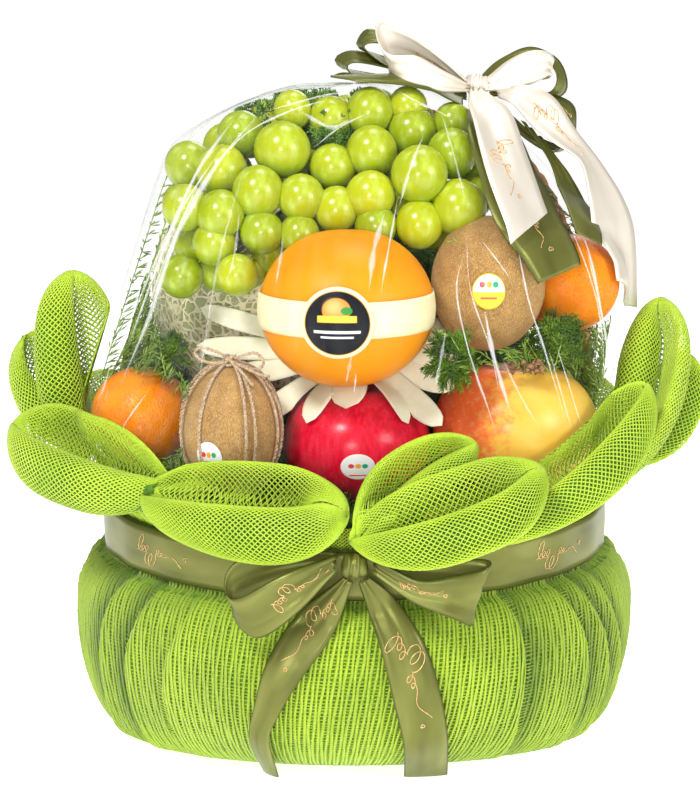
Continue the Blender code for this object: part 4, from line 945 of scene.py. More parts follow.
def makeKnot(name, satin, drop=0.0):
    low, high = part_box(name)
    centre, half = (low + high) / 2 - Vector((0, 0, drop)), (high - low) / 2
    rows, columns = knot["rows"], knot["columns"]
    across = np.linspace(-1, 1, columns)[None, :]
    turn = np.linspace(0, math.tau, rows)[:, None]
    # a band wrapped round the middle: pinched in its width, with ridges along it
    ridges = np.sin(across * math.pi * knot["ridges"] + 0.9 * np.sin(turn * 2))
    creases = 0.10 * ridges + 0.05 * np.sin(across * 17 + turn)
    body = (1 - 0.30 * np.abs(across) ** 2.5) * (0.92 + creases)
    closing = np.sqrt(np.clip(1 - np.abs(across) ** 10, 0, 1))
    x = centre.x + half.x * across * (1 + 0.05 * np.sin(turn * 2)) + 0 * turn
    y = centre.y + half.y * body * closing * np.cos(turn)
    z = centre.z + half.z * body * closing * np.sin(turn)
    grid = np.stack([x, y, z], axis=2)
    along = np.repeat(np.linspace(0, 0.04, rows), columns)
    across = np.tile(np.linspace(0.1, 0.9, columns), rows)
    addPiece(name + "_satin", grid.reshape(-1, 3), gridFaces(rows, columns), satins[satin],
             [name], {"along": along, "across": across})


makeRibbons()
makeStrokes()
makeKnot("waist_knot", "olive")
makeKnot("bow_knot", "cream", knot["bowDrop"])


# fruit
fruits = {
    # each one's centre and its half-widths in mm
    "melon": ((-42, 24, 227), (69, 69, 69)), "pear": ((-4, -90, 235), (44, 44, 40)),
    "apple": ((1, -62, 160.5), (38.3, 38, 33)), "mango": ((83, -58, 168), (43, 37, 35)),
    "kiwi_left": ((-62, -92, 174), (25.3, 25, 32.5)), "kiwi_right": ((68, -62, 243), (29.3, 28, 34.7)),
    "orange_left": ((-110, -55, 173), (26.5, 26.5, 25.5)), "orange_right": ((112, -26, 238), (27, 27, 26)),
}
fruitMesh = {"rows": 44, "columns": 64}


def fruitCentre(name):
    return np.array(fruits[name][0]) * mm


def fruitHalf(name):
    return np.array(fruits[name][1]) * mm


def fruitPoint(name, way, lift=0.0):
    # a point of the fruit's ellipsoid in a direction from its centre
    way = unit(np.asarray(way, float))
    reach = 1 / np.linalg.norm(way / fruitHalf(name), axis=-1, keepdims=True)
    return fruitCentre(name) + way * (reach + lift)


def offFruit(point, name, gap):
    away = point - fruitCentre(name)
    surface = fruitPoint(name, away, gap)
    inside = np.linalg.norm(away, axis=-1) < np.linalg.norm(surface - fruitCentre(name), axis=-1)
    return np.where(inside[..., None], surface, point)


def makeFruit(name, paint, form=None):
    rows, columns = fruitMesh["rows"], fruitMesh["columns"]
    way, down, turn = sphereWays(rows, columns, 0.012)
    share = form(way, down, turn) if form else np.ones(way.shape[:2])
    uneven = 1 - 0.006 * (1 + np.sin(3 * turn + 1.3 + 2 * down) * np.sin(down) ** 2)
    points = fruitCentre(name) + way * fruitHalf(name) * (share * uneven)[..., None]
    flat = points.reshape(-1, 3)
    count = len(flat)
    flat = np.vstack([flat, points[0].mean(0), points[-1].mean(0)])
    last = (rows - 1) * columns
    faces = ringFaces(rows, columns)
    faces += [(count, j, (j + 1) % columns) for j in range(columns)]
    faces += [(count + 1, last + (j + 1) % columns, last + j) for j in range(columns)]
    ways = np.vstack([way.reshape(-1, 3), [[0, 0, 1]], [[0, 0, -1]]])
    addPiece(name + "_skin", flat, faces, paint, [name], {"way": ways})


def stalkForm(depth, width, waist=0.0):
    # a hollow round the stalk, and a smaller one underneath
    def form(way, down, turn):
        ring = np.sin(down)
        top = depth * np.exp(-(ring / width) ** 2) * (way[..., 2] > 0)
        foot = 0.6 * depth * np.exp(-(ring / (width * 0.8)) ** 2) * (way[..., 2] < 0)
        lobes = waist * np.clip(-way[..., 2], 0, 1) * (0.5 - 0.5 * np.cos(5 * turn))
        return 1 - top - foot - lobes
    return form


def skinPaint(name, **fixed):
    paint = Paint(name, **fixed)
    return paint, paint.stored("way", "Vector")


def orangePaint():
    paint, way = skinPaint("orangePeel", Roughness=0.34, Specular_IOR_Level=0.25)
    pores = paint.cells(way, 26.0)
    cloud = paint.noise(way, 2.4, 3.0)
    colour = paint.mix(cloud.step(0.3, 0.7), (0.98, 0.24, 0.001), (1.0, 0.32, 0.003))
    paint.colour(paint.mix(pores.step(0.0, 0.30), (0.95, 0.21, 0.002), colour))
    paint.bump(pores.step(0.0, 0.45), 0.0008, 0.6)
    return paint


def applePaint():
    paint, way = skinPaint("appleSkin", Roughness=0.28, Coat_Weight=0.08, Coat_Roughness=0.1,
                           Specular_IOR_Level=0.22)
    streak = paint.noise(paint.scaled(way, (19, 19, 2.2)), 1.0, 5.0, 0.65)
    dots = paint.cells(way, 24.0)
    z = paint.parts(way)[2]
    colour = paint.mix(streak.step(0.36, 0.68), (0.72, 0.004, 0.026), (0.93, 0.016, 0.060))
    colour = paint.mix(streak.step(0.66, 0.80) * 0.55, colour, (0.95, 0.22, 0.18))
    colour = paint.mix((1 - dots.step(0.03, 0.10)) * 0.5, colour, (0.98, 0.50, 0.42))
    # darker towards the bottom: painted shade
    paint.colour(paint.mix(z.step(-0.3, -0.95) * 0.4, colour, (0.45, 0.002, 0.012)))
    paint.bump(streak, 0.0003, 0.2)
    return paint


def mangoPaint():
    paint, way = skinPaint("blushedSkin", Roughness=0.34, Coat_Weight=0.1, Coat_Roughness=0.2,
                           Specular_IOR_Level=0.3)
    x, y, z = paint.parts(way)
    broken = paint.noise(way, 9.0, 6.0, 0.7)
    side = (x * -0.95 + z * 0.12 + y * 0.05 + broken * 1.1 - 0.56).step(0.0, 0.50)
    colour = paint.mix(paint.noise(way, 2.0).step(0.3, 0.7), (0.93, 0.53, 0.06), (0.97, 0.62, 0.11))
    colour = paint.mix(side, colour, (1.0, 0.17, 0.04))
    blotch = paint.noise(way, 17.0, 3.0, 0.6)
    colour = paint.mix(side * blotch.step(0.52, 0.66) * 0.7, colour, (0.93, 0.38, 0.12))
    specks = paint.cells(way, 21.0)
    colour = paint.mix((1 - specks.step(0.05, 0.13)) * 0.6, colour, (0.60, 0.12, 0.03))
    paint.colour(colour)
    paint.bump(blotch, 0.0004, 0.15)
    return paint


def pearPaint():
    paint, way = skinPaint("goldenSkin", Roughness=0.40, Specular_IOR_Level=0.22)
    cloud = paint.noise(way, 1.8, 2.0)
    z = paint.parts(way)[2]
    colour = paint.mix(cloud.step(0.3, 0.7), (0.84, 0.29, 0.004), (0.87, 0.33, 0.006))
    colour = paint.mix((z * 0.5 + 0.5).step(0.0, 1.0), (0.90, 0.31, 0.010), colour)
    dots = paint.cells(way, 40.0)
    paint.colour(paint.mix((1 - dots.step(0.04, 0.14)) * 0.30, colour, (0.90, 0.50, 0.14)))
    paint.bump(paint.noise(way, 60.0, 3.0), 0.0002, 0.25)
    return paint


def kiwiPaint():
    paint, way = skinPaint("kiwiSkin", Roughness=0.85, Sheen_Weight=0.25, Sheen_Roughness=0.5,
                           Sheen_Tint=(0.9, 0.7, 0.45, 1))
    hair = paint.noise(paint.scaled(way, (60, 60, 26)), 1.0, 4.0, 0.7)
    cloud = paint.noise(way, 4.0, 4.0, 0.6)
    colour = paint.mix(cloud.step(0.3, 0.7), (0.34, 0.175, 0.045), (0.50, 0.28, 0.078))
    colour = paint.mix(hair.step(0.48, 0.68), colour, (0.68, 0.44, 0.17))
    paint.colour(paint.mix(hair.step(0.5, 0.3) * 0.75, colour, (0.20, 0.095, 0.022)))
    paint.bump(hair, 0.0009, 0.6)
    return paint


def melonPaint():
    paint, way = skinPaint("melonRind", Roughness=0.7)
    bent = paint.node("ShaderNodeTexNoise", None, {"Vector": way, "Scale": 9.0, "Detail": 2.0}, "Color")
    shifted = paint.node("ShaderNodeVectorMath", {"operation": "MULTIPLY_ADD"},
                         {0: bent, 1: (0.10, 0.10, 0.10), 2: way})
    wide = paint.cells(shifted, 13.0, "DISTANCE_TO_EDGE")
    fine = paint.cells(shifted, 21.0, "DISTANCE_TO_EDGE")
    gaps = paint.noise(way, 7.0, 2.0).step(0.45, 0.6)
    net = (1 - wide.step(0.08, 0.17)).most((1 - fine.step(0.05, 0.12)) * gaps)
    rind = paint.mix(paint.noise(way, 5.0, 3.0).step(0.3, 0.7), (0.38, 0.42, 0.18), (0.50, 0.53, 0.25))
    paint.colour(paint.mix(net, rind, (0.96, 0.89, 0.58)))
    paint.bump(net, 0.0011, 0.9)
    return paint


orangeSkin, kiwiSkin = orangePaint(), kiwiPaint()
makeFruit("melon", melonPaint())
makeFruit("pear", pearPaint(), stalkForm(0.05, 0.25))
makeFruit("apple", applePaint(), stalkForm(0.24, 0.33, 0.03))
makeFruit("mango", mangoPaint(), stalkForm(0.20, 0.30, 0.03))
makeFruit("kiwi_left", kiwiSkin)
makeFruit("kiwi_right", kiwiSkin)
makeFruit("orange_left", orangeSkin, stalkForm(0.05, 0.16))
makeFruit("orange_right", orangeSkin, stalkForm(0.05, 0.16))
print("basket: fruit")


# the paper belt, its label and the small stickers
belt = {"halfHeight": 9, "fruitRadius": 44, "lift": 0.0006, "thickness": 0.0003, "rows": 121, "columns": 9}


def makeBelt():
    turn = np.linspace(0, math.tau, belt["rows"])[:, None]
    height = np.linspace(-belt["halfHeight"], belt["halfHeight"], belt["columns"])[None, :]
    way = np.stack([np.cos(turn) + 0 * height, np.sin(turn) + 0 * height,
                    height / belt["fruitRadius"] + 0 * turn], axis=2)
    grid = fruitPoint("pear", way, belt["lift"])
    paint = Paint("beltPaper", Roughness=0.5)
    fibre = paint.noise(paint.place(), 160.0, 4.0)
    paint.colour(paint.mix(fibre.step(0.3, 0.7), (0.88, 0.80, 0.44), (0.94, 0.87, 0.54)))
    faces = gridFaces(belt["rows"], belt["columns"])
    piece = addPiece("pear_belt", grid.reshape(-1, 3), faces, paint, ["pear_band"])
    thicken(piece, belt["thickness"])


discs = {
    # the fruit, the way it faces, its half-width and half-height in mm, and how far it stands off
    "pear_label": ("pear", (-0.10, -1, -0.03), 19.0, 19.0, 0.0012),
    "kiwi_right_sticker": ("kiwi_right", (-0.04, -1, 0.0), 10.4, 11.4, 0.0007),
    "kiwi_left_sticker": ("kiwi_left", (-0.44, -1, -0.46), 8.6, 10.6, 0.0007),
    "apple_sticker": ("apple", (0.02, -1, -0.13), 8.8, 6.9, 0.0007),
}
disc = {"rings": 14, "sides": 56, "thickness": 0.00025}


def makeDisc(name, paint):
    # a round sticker that follows the fruit, with its own flat coordinates stored on it
    fruit, facing, halfWidth, halfHeight, lift = discs[name]
    facing = unit(np.array(facing, float))
    right = unit(np.cross((0, 0, 1), facing))
    above = np.cross(facing, right)
    reach = max(fruits[fruit][1]) * mm
    rings, sides = disc["rings"], disc["sides"]
    points, flat = [fruitPoint(fruit, facing[None, :], lift)[0]], [(0, 0)]
    for i in range(1, rings + 1):
        for k in range(sides):
            angle = math.tau * k / sides
            x, y = math.cos(angle) * i / rings, math.sin(angle) * i / rings
            way = facing * reach + right * x * halfWidth * mm + above * y * halfHeight * mm
            points.append(fruitPoint(fruit, way[None, :], lift)[0])
            flat.append((x, y))
    faces = [(0, 1 + k, 1 + (k + 1) % sides) for k in range(sides)]
    for i in range(rings - 1):
        a, b = 1 + i * sides, 1 + (i + 1) * sides
        faces += [(a + k, b + k, b + (k + 1) % sides, a + (k + 1) % sides) for k in range(sides)]
    flat = np.array(flat)
    piece = addPiece(name + "_print", points, faces, paint, [name],
                     {"flatX": flat[:, 0], "flatY": flat[:, 1]})
    thicken(piece, disc["thickness"], 1)


def spot(x, y, centreX, centreY, radius, tall=1.0, soft=0.02):
    away = (((x - centreX) ** 2) + (((y - centreY) / tall) ** 2)) ** 0.5
    return 1 - away.step(radius - soft, radius + soft)


def bar(x, y, centreX, centreY, halfWidth, halfHeight, soft=0.015):
    insideX = 1 - (x - centreX).math("ABSOLUTE").step(halfWidth - soft, halfWidth + soft)
    insideY = 1 - (y - centreY).math("ABSOLUTE").step(halfHeight - soft, halfHeight + soft)
    return insideX * insideY


def labelPaint():
    paint = Paint("labelPrint", Roughness=0.35, Specular_IOR_Level=0.2)
    x, y = paint.stored("flatX"), paint.stored("flatY")
    colour = paint.mix(spot(x, y, 0, 0, 0.885, soft=0.012), (0.90, 0.84, 0.52), (0.85, 0.45, 0.10))
    colour = paint.mix(spot(x, y, 0, 0, 0.855, soft=0.012), colour, (0.004, 0.005, 0.008))
    colour = paint.mix(spot(x, y, -0.02, 0.36, 0.36, 0.86), colour, (0.93, 0.28, 0.04))
    colour = paint.mix(spot(x, y, -0.10, 0.44, 0.20, 0.86, 0.14) * 0.7, colour, (1.0, 0.55, 0.20))
    colour = paint.mix(spot(x, y, 0.24, 0.34, 0.15, 0.7), colour, (0.03, 0.26, 0.04))
    colour = paint.mix(bar(x, y, 0.0, 0.13, 0.50, 0.085), colour, (0.92, 0.58, 0.06))
    colour = paint.mix(bar(x, y, 0.0, -0.20, 0.60, 0.035), colour, (0.90, 0.90, 0.88))
    colour = paint.mix(bar(x, y, 0.0, -0.34, 0.42, 0.025), colour, (0.90, 0.90, 0.88))
    paint.colour(colour)
    return paint


def stickerPaint(name, rim, field, fieldTop):
    paint = Paint(name, Roughness=0.3, Coat_Weight=0.4, Coat_Roughness=0.15)
    x, y = paint.stored("flatX"), paint.stored("flatY")
    colour = paint.mix((y * -1).step(-fieldTop - 0.02, -fieldTop + 0.02), (0.93, 0.93, 0.92), field)
    red, orange, green = (0.80, 0.03, 0.02), (0.95, 0.42, 0.01), (0.01, 0.42, 0.20)
    for centreX, tint in ((-0.38, red), (0.02, orange), (0.40, green)):
        colour = paint.mix(spot(x, y, centreX, fieldTop + 0.40, 0.17), colour, tint)
    colour = paint.mix(bar(x, y, 0.0, fieldTop - 0.34, 0.48, 0.06), colour, (0.85, 0.10, 0.02))
    paint.colour(paint.mix(spot(x, y, 0, 0, 0.93, soft=0.015), rim, colour))
    return paint


makeBelt()
yellow, white, paleCream = (0.96, 0.66, 0.01), (0.94, 0.94, 0.92), (0.93, 0.90, 0.86)
makeDisc("pear_label", labelPaint())
makeDisc("kiwi_right_sticker", stickerPaint("goldSticker", yellow, yellow, -0.02))
makeDisc("kiwi_left_sticker", stickerPaint("goldStickerLow", white, yellow, -0.22))
makeDisc("apple_sticker", stickerPaint("whiteSticker", white, paleCream, -0.30))
print("basket: paper belt, label and stickers")


# the paper star under the big round fruit
star = {"centre": (1, -53, 208), "facing": (-0.12, -0.80, 0.59), "halfWidth": 0.0067, "cup": 1.5,
        "gap": 0.0026, "thickness": 0.0005, "rows": 19, "columns": 9,
        # each leaf's direction in degrees and its length in mm
        "leaves": [(169, 84), (184, 82), (199, 73), (224, 65), (253, 50), (271, 43), (303, 53), (317, 66),
                   (336, 58), (354, 56), (14, 54), (38, 50), (64, 45), (90, 42), (116, 44), (142, 52)]}


def makeStar():
    axis = unit(np.array(star["facing"]))
    right = unit(np.cross((0, 0, 1), axis))
    above = np.cross(axis, right)
    points, faces, across = [], [], []
    rows, columns = star["rows"], star["columns"]
    for k, (degrees, length) in enumerate(star["leaves"]):
        angle, length = math.radians(degrees), length * mm
        out = right * math.cos(angle) + above * math.sin(angle)
        side = above * math.cos(angle) - right * math.sin(angle)
        base = len(points)
        for i in range(rows):
            s = i / (rows - 1)
            reach = length * s
            blunt = math.sqrt(max(0.0, 1 - max(0, (s - 0.72) / 0.28) ** 2))
            wide = star["halfWidth"] * (0.42 + 0.58 * math.sin(min(1, s / 0.66) * math.pi / 2)) * blunt
            for j in range(columns):
                t = 2 * j / (columns - 1) - 1
                offset = out * reach + side * wide * t
                curl = 0.0012 * (1 - t * t) * math.sin(math.pi * s) + 0.0010 * math.sin(4 * s + k)
                size = np.linalg.norm(offset)
                points.append(np.array(star["centre"]) * mm + offset + axis * (star["cup"] * size ** 2 + curl))
                across.append(t)
        faces += [(base + a, base + b, base + c, base + d) for a, b, c, d in gridFaces(rows, columns)]
    points = np.array(points)
    for name in ("pear", "melon", "apple", "kiwi_right", "kiwi_left", "mango"):
        points = offFruit(points, name, star["gap"])
    paint = Paint("starPaper", Roughness=0.75)
    fibre = paint.noise(paint.place(), 240.0, 5.0, 0.65)
    vein = (1 - paint.stored("across").math("ABSOLUTE").step(0.0, 0.12)) * 0.25
    colour = paint.mix(fibre.step(0.32, 0.72), (0.93, 0.93, 0.66), (0.98, 0.98, 0.80))
    paint.colour(paint.mix(vein * 0.3, colour, (0.70, 0.72, 0.40)))
    paint.bump(fibre, 0.0002, 0.5)
    piece = addPiece("paper_star", points, faces, paint, ["paper_collar"], {"across": across})
    thicken(piece, star["thickness"], 0)
    print("basket: paper star,", len(star["leaves"]), "leaves")


makeStar()


# twine round the left kiwi
twine = {"turns": [(22, 0.05), (30, 0.0), (66, 0.05), (74, -0.02), (112, 0.04), (150, -0.06)],  # azimuth, tilt
         "lift": 0.0016, "ply": 0.00050, "twist": 0.0042,
         "fibres": 10, "fibreReach": 0.0008, "fibreRadius": 0.00007,
         "bow": [[(0, 0, 0), (-6, -7, 5), (-14, -10, 8), (-17, -10, 5), (-13, -9, 1), (-5, -5, -1), (0, -2, 0)],
                 [(0, 0, 0), (6, -6, 3), (13, -9, 5), (17, -11, 1), (14, -10, -3), (6, -6, -2), (0, -2, 0)],
                 [(0, -3, 0), (5, -10, -3), (9, -14, -7), (12, -16, -10)],
                 [(0, -3, 0), (7, -9, -2), (15, -13, -5), (20, -13, -6)]]}


def twisted(line, ply, pitch, count=2):
    # strands that wind round each other along a line
    along = np.concatenate([[0], np.cumsum(np.linalg.norm(np.diff(line, axis=0), axis=1))])
    steps = max(12, int(along[-1] / (pitch / 5)))
    line = evenLine(line, steps)
    at = np.linspace(0, along[-1], steps)
    side = sideways(line)
    above = unit(np.cross(unit(np.gradient(line, axis=0)), side))
    strands = []
    for k in range(count):
        angle = (at / pitch * math.tau + math.tau * k / count)[:, None]
        strands.append(line + (side * np.cos(angle) + above * np.sin(angle)) * ply * 0.95)
    return strands


def jutePaint():
    paint = Paint("juteTwine", Roughness=0.85, Sheen_Weight=0.4)
    fibre = paint.noise(paint.scaled(paint.place(), (900, 900, 500)), 1.0, 4.0, 0.7)
    paint.colour(paint.mix(fibre.step(0.3, 0.7), (0.36, 0.23, 0.12), (0.72, 0.54, 0.34)))
    paint.bump(fibre, 0.0002, 0.6)
    return paint


def makeTwine():
    strands = []
    turn = np.linspace(0, math.tau, 90)
    for azimuth, tilt in twine["turns"]:
        out = polar(1, azimuth, 0)
        side = np.cross(out, (0, 0, 1))
        way = (np.outer(np.sin(turn), out) + np.outer(np.cos(turn), (0, 0, 1))
               + np.outer(tilt * np.sin(turn) ** 2, side))
        strands += twisted(fruitPoint("kiwi_left", way, twine["lift"]), twine["ply"], twine["twist"])
    top = fruitCentre("kiwi_left") + np.array((0, -1, 35.0)) * mm
    for route in twine["bow"]:
        strands += twisted(smoothLine(top + np.array(route) * mm, 60), twine["ply"] * 0.9, twine["twist"])
    ball = np.linspace(0, 1, 70)
    wrap = np.stack([2.6 * np.cos(ball * 26), 2.4 * np.sin(ball * 26) - 1.5, 2.2 * np.sin(ball * 17)],
                    axis=1) * mm
    strands += twisted(top + wrap, twine["ply"] * 0.9, twine["twist"])
    points, faces = rods(strands, twine["ply"], 5)
    # loose fibres that stand off the twine
    draw = random.Random(4)
    fibres = []
    for strand in strands:
        for _ in range(twine["fibres"]):
            start = strand[draw.randrange(len(strand))]
            way = np.array([draw.gauss(0, 1) for _ in range(3)]) * twine["fibreReach"]
            fibres.append(np.array([start, start + way, start + way * 1.7 + np.array((0, 0, 0.0002))]))
    extra, extraFaces = rods(fibres, twine["fibreRadius"], 3)
    faces += [tuple(len(points) + k for k in face) for face in extraFaces]
    addPiece("kiwi_twine", np.vstack([points, extra]), faces, jute, ["kiwi_left_twine"])
    print("basket: twine,", len(faces), "faces")


jute = jutePaint()
makeTwine()


# the handle: cane strands twisted round each other
handle = {"route": [(-80, 82, 123), (-96, 86, 170), (-98, 81, 225), (-86, 67, 275), (-58, 36, 309),
                    (-20, 12, 324), (20, 8, 325), (62, 8, 316), (91, 8, 297), (111, 8, 264), (122, 8, 222),
                    (125, 8, 175), (112, 8, 123)], "strand": 0.0023, "pitch": 0.030, "strands": 3}


def makeHandle():
    line = smoothLine(np.array(handle["route"]) * mm, 400)
    strands = twisted(line, handle["strand"] * 1.06, handle["pitch"], handle["strands"])
    strands = [evenLine(strand, 260) for strand in strands]
    points, faces = rods(strands, handle["strand"], 10)
    cane = Paint("stainedCane", Roughness=0.5, Coat_Weight=0.15)
    grain = cane.noise(cane.scaled(cane.place(), (260, 260, 60)), 1.0, 4.0, 0.6)
    cane.colour(cane.mix(grain.step(0.3, 0.7), (0.30, 0.12, 0.035), (0.78, 0.37, 0.13)))
    cane.bump(grain, 0.0003, 0.5)
    addPiece("handle_cane", points, faces, cane, ["handle"])
    print("basket: handle,", len(strands), "strands")


makeHandle()


# greenery: sprigs of needles
def sprigs(places, ways, lengths, draw, needles, reach):
    # every sprig is a thin stem with needles round it
    lines = []
    for place, way, length in zip(places, ways, lengths):
        way = way / np.linalg.norm(way)
        helper = np.array((0, 0, 1.0)) if abs(way[2]) < 0.9 else np.array((1.0, 0, 0))
        side = np.cross(way, helper)
        side /= np.linalg.norm(side)
        above = np.cross(way, side)
        droop = np.array((draw.gauss(0, 0.15), draw.gauss(0, 0.15), -0.12))
        for k in range(needles):
            s = (k + draw.random()) / needles
            angle = k * 2.4 + draw.random()
            root = place + (way * s + droop * s * s) * length
            spread = 0.55 + 0.5 * (1 - s)
            out = (side * math.cos(angle) + above * math.sin(angle)) * spread + way * (1.15 - spread * 0.4)
            out = out / np.linalg.norm(out) * reach * (0.65 + 0.5 * draw.random()) * (1.1 - 0.5 * s)
            lines.append((root, root + out * 0.55 + way * reach * 0.02, root + out))
        lines.append((place, place + way * length * 0.5, place + (way + droop) * length))
    return lines


def needleMesh(lines, thick):
    # three-sided needles, thick in the middle and pointed at both ends
    lines = np.array(lines)
    along = unit(lines[:, 2] - lines[:, 0])
    helper = np.where(np.abs(along[:, 2:]) < 0.9, [[0, 0, 1]], [[1, 0, 0]])
    side = unit(np.cross(along, helper))
    above = np.cross(along, side)
    ring = [lines[:, 1] + (side * math.cos(angle) + above * math.sin(angle)) * thick * 1.15
            for angle in (0, math.tau / 3, 2 * math.tau / 3)]
    points = np.stack([lines[:, 0]] + ring + [lines[:, 2]], axis=1)
    base = np.arange(len(lines))[:, None] * 5
    faces = []
    for k in range(3):
        here, after = base + 1 + k, base + 1 + (k + 1) % 3
        faces += [np.hstack([base, after, here]), np.hstack([here, after, base + 4])]
    return points.reshape(-1, 3), [tuple(face) for face in np.vstack(faces)]


def fernPaint(name, dark, light):
    paint = Paint(name, Roughness=0.55)
    cloud = paint.noise(paint.place(), 90.0, 3.0)
    fine = paint.noise(paint.place(), 900.0, 1.0)
    colour = paint.mix(cloud.step(0.3, 0.7), dark, light)
    paint.colour(paint.mix(fine.step(0.4, 0.8) * 0.35, colour, (0.20, 0.42, 0.05)))
    return paint


tufts = {
    # each one's centre, half-widths in mm and number of sprigs
    "fern_right_front": ((49, -101, 212), (17, 9, 17), 60), "fern_right": ((104, -62, 214), (16, 10, 18), 66),
    "fern_left": ((-94, -64, 208), (11, 9, 13), 44),
}
tuft = {"needles": 38, "reach": 0.0056, "thick": 0.00030}


def insideFruit(points, margin=0.0):
    inside = np.zeros(len(points), bool)
    for name in fruits:
        away = (points - fruitCentre(name)) / (fruitHalf(name) + margin)
        inside |= np.linalg.norm(away, axis=1) < 1
    return inside


fronds = {"left": (-128, -40, 50), "right": (40, 128, 44), "rear": (128, 232, 14),  # azimuths and number
          "leaflet": 0.0105, "steps": 46, "needles": 4, "thick": 0.00042}


def makeFronds():
    # long strands of greenery that climb up inside the film at the sides and the back
    draw = random.Random(31)
    lines = []
    for side in ("left", "right", "rear"):
        start, end, count = fronds[side]
        for k in range(count):
            azimuth = math.radians(start + (end - start) * (k + draw.random() * 0.6) / count)
            lean = math.radians(draw.uniform(-40, 40))
            top = math.radians(draw.uniform(44, 62))
            inset = draw.uniform(0.004, 0.026)
            stem = []
            for s in np.linspace(0, 1, fronds["steps"]):
                way = upWay(azimuth + lean * s * s + 0.06 * math.sin(7 * s + k), 0.03 + (top - 0.03) * s)
                reach = min(filmReach(way), filmReach((way + Vector((0, 0, 0.05))).normalized()))
                stem.append(np.array(filmCentre + way * (reach - inset)))
            stem = np.array(stem)
            along = unit(np.gradient(stem, axis=0))
            sideAxis = unit(np.cross(along, stem - np.array(filmCentre)))
            away = unit(stem - np.array(filmCentre))
            for i in range(1, len(stem) - 1):
                lines.append((stem[i - 1], stem[i], stem[i + 1]))
                long = fronds["leaflet"] * (1.1 - 0.6 * (i / len(stem)) ** 2)
                for _ in range(fronds["needles"]):
                    angle = draw.uniform(0, math.tau)
                    out = sideAxis[i] * math.cos(angle) - away[i] * abs(math.sin(angle)) * 0.6
                    out = unit(out + along[i] * draw.uniform(0.3, 1.1)) * long * draw.uniform(0.55, 1.1)
                    lines.append((stem[i], stem[i] + out * 0.6, stem[i] + out))
    # the strands part in front of the fruit
    inFront = nodeTree("grape_bunch", "paper_collar", *fruits)
    lens = camera.matrix_world.translation
    kept = []
    for line in lines:
        tip = Vector(line[2])
        if not insideFruit(np.array(line), 0.001).any() and not inFront.ray_cast(tip, tip - lens)[0]:
            kept.append(line)
    points, faces = needleMesh(kept, fronds["thick"])
    addPiece("fern_fronds", clampInsideFilm(points), faces,
             fernPaint("frondGreen", (0.09, 0.18, 0.008), (0.32, 0.46, 0.06)))
    print("basket: fronds,", len(faces), "faces")


def makeTufts():
    for name, (centre, half, count) in tufts.items():
        draw = random.Random(len(name) * 7)
        centre, half = np.array(centre) * mm, np.array(half) * mm
        places, ways, lengths = [], [], []
        while len(places) < count:
            way = randomWay(draw)
            way[1] = -abs(way[1]) if draw.random() < 0.75 else way[1]
            root = centre + way * half * 0.25
            tip = centre + way * half * 0.9
            if insideFruit(tip[None, :], 0.0005)[0]:
                continue
            places.append(root)
            ways.append(way + np.array((0, -0.2, 0.25)))
            lengths.append(float(np.linalg.norm(tip - root)))
        points, faces = needleMesh(sprigs(places, ways, lengths, draw, tuft["needles"], tuft["reach"]),
                                   tuft["thick"])
        addPiece(name + "_sprigs", clampInsideFilm(points), faces, fernDeep, [name])


def clampInsideFilm(points, gap=0.0012):
    # nothing under the film reaches through it
    out = np.array(points)
    for k, point in enumerate(out):
        way = Vector(point) - filmCentre
        if way.z <= 0 or way.length < 0.09:
            continue
        reach = filmReach(way.normalized()) - gap
        if 0.02 < reach < way.length:
            out[k] = np.array(filmCentre + way.normalized() * reach)
    return out


bed = {"sprigs": 1500, "needles": 16, "reach": 0.0062, "thick": 0.00036, "lowest": 0.126, "lean": 0.35,
       "lengths": (0.008, 0.015)}


def makeBed():
    # sprigs over the whole bed, laid on the CAD solid's own faces
    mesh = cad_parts["fern_bed"].data
    mesh.calc_loop_triangles()
    corners = np.array([vertex.co for vertex in mesh.vertices])
    triangles = np.array([triangle.vertices for triangle in mesh.loop_triangles])
    a, b, c = (corners[triangles[:, k]] for k in range(3))
    normal = np.cross(b - a, c - a)
    area = np.linalg.norm(normal, axis=1) / 2
    normal = unit(normal)
    generator = np.random.default_rng(11)
    count = bed["sprigs"]
    pick = generator.choice(len(area), count, p=area / area.sum())
    u, v = generator.random((2, count, 1))
    u, v = np.where(u + v > 1, 1 - u, u), np.where(u + v > 1, 1 - v, v)
    places = a[pick] + u * (b - a)[pick] + v * (c - a)[pick]
    ways = normal[pick] + np.array((0, 0, 0.45)) + generator.normal(0, bed["lean"], (count, 3))
    lengths = generator.uniform(*bed["lengths"], count)
    tips = places + unit(ways) * (lengths + 0.003)[:, None]
    keep = (places[:, 2] > bed["lowest"]) & ~insideFruit(tips) & ~insideFruit(places, -mm)
    lines = sprigs(places[keep], ways[keep], lengths[keep], random.Random(2), bed["needles"], bed["reach"])
    points, faces = needleMesh(lines, bed["thick"])
    addPiece("fern_sprigs", clampInsideFilm(points), faces, fernDeep)
    # a near-black green solid under the sprigs: painted shade deep in the greenery
    core = Paint("mossCore", Roughness=0.9)
    clump = core.noise(core.place(), 260.0, 4.0, 0.7)
    core.colour(core.mix(clump.step(0.3, 0.7), (0.008, 0.03, 0.004), (0.05, 0.13, 0.015)))
    core.bump(clump, 0.002, 0.8)
    addPiece("fern_shade_core", corners, triangles, core, ["fern_bed"], smooth=False)
    print("basket: greenery,", int(keep.sum()), "sprigs,", len(faces), "faces")


fernDeep = fernPaint("fernGreen", (0.035, 0.095, 0.002), (0.19, 0.34, 0.010))
makeBed()
makeTufts()
makeFronds()


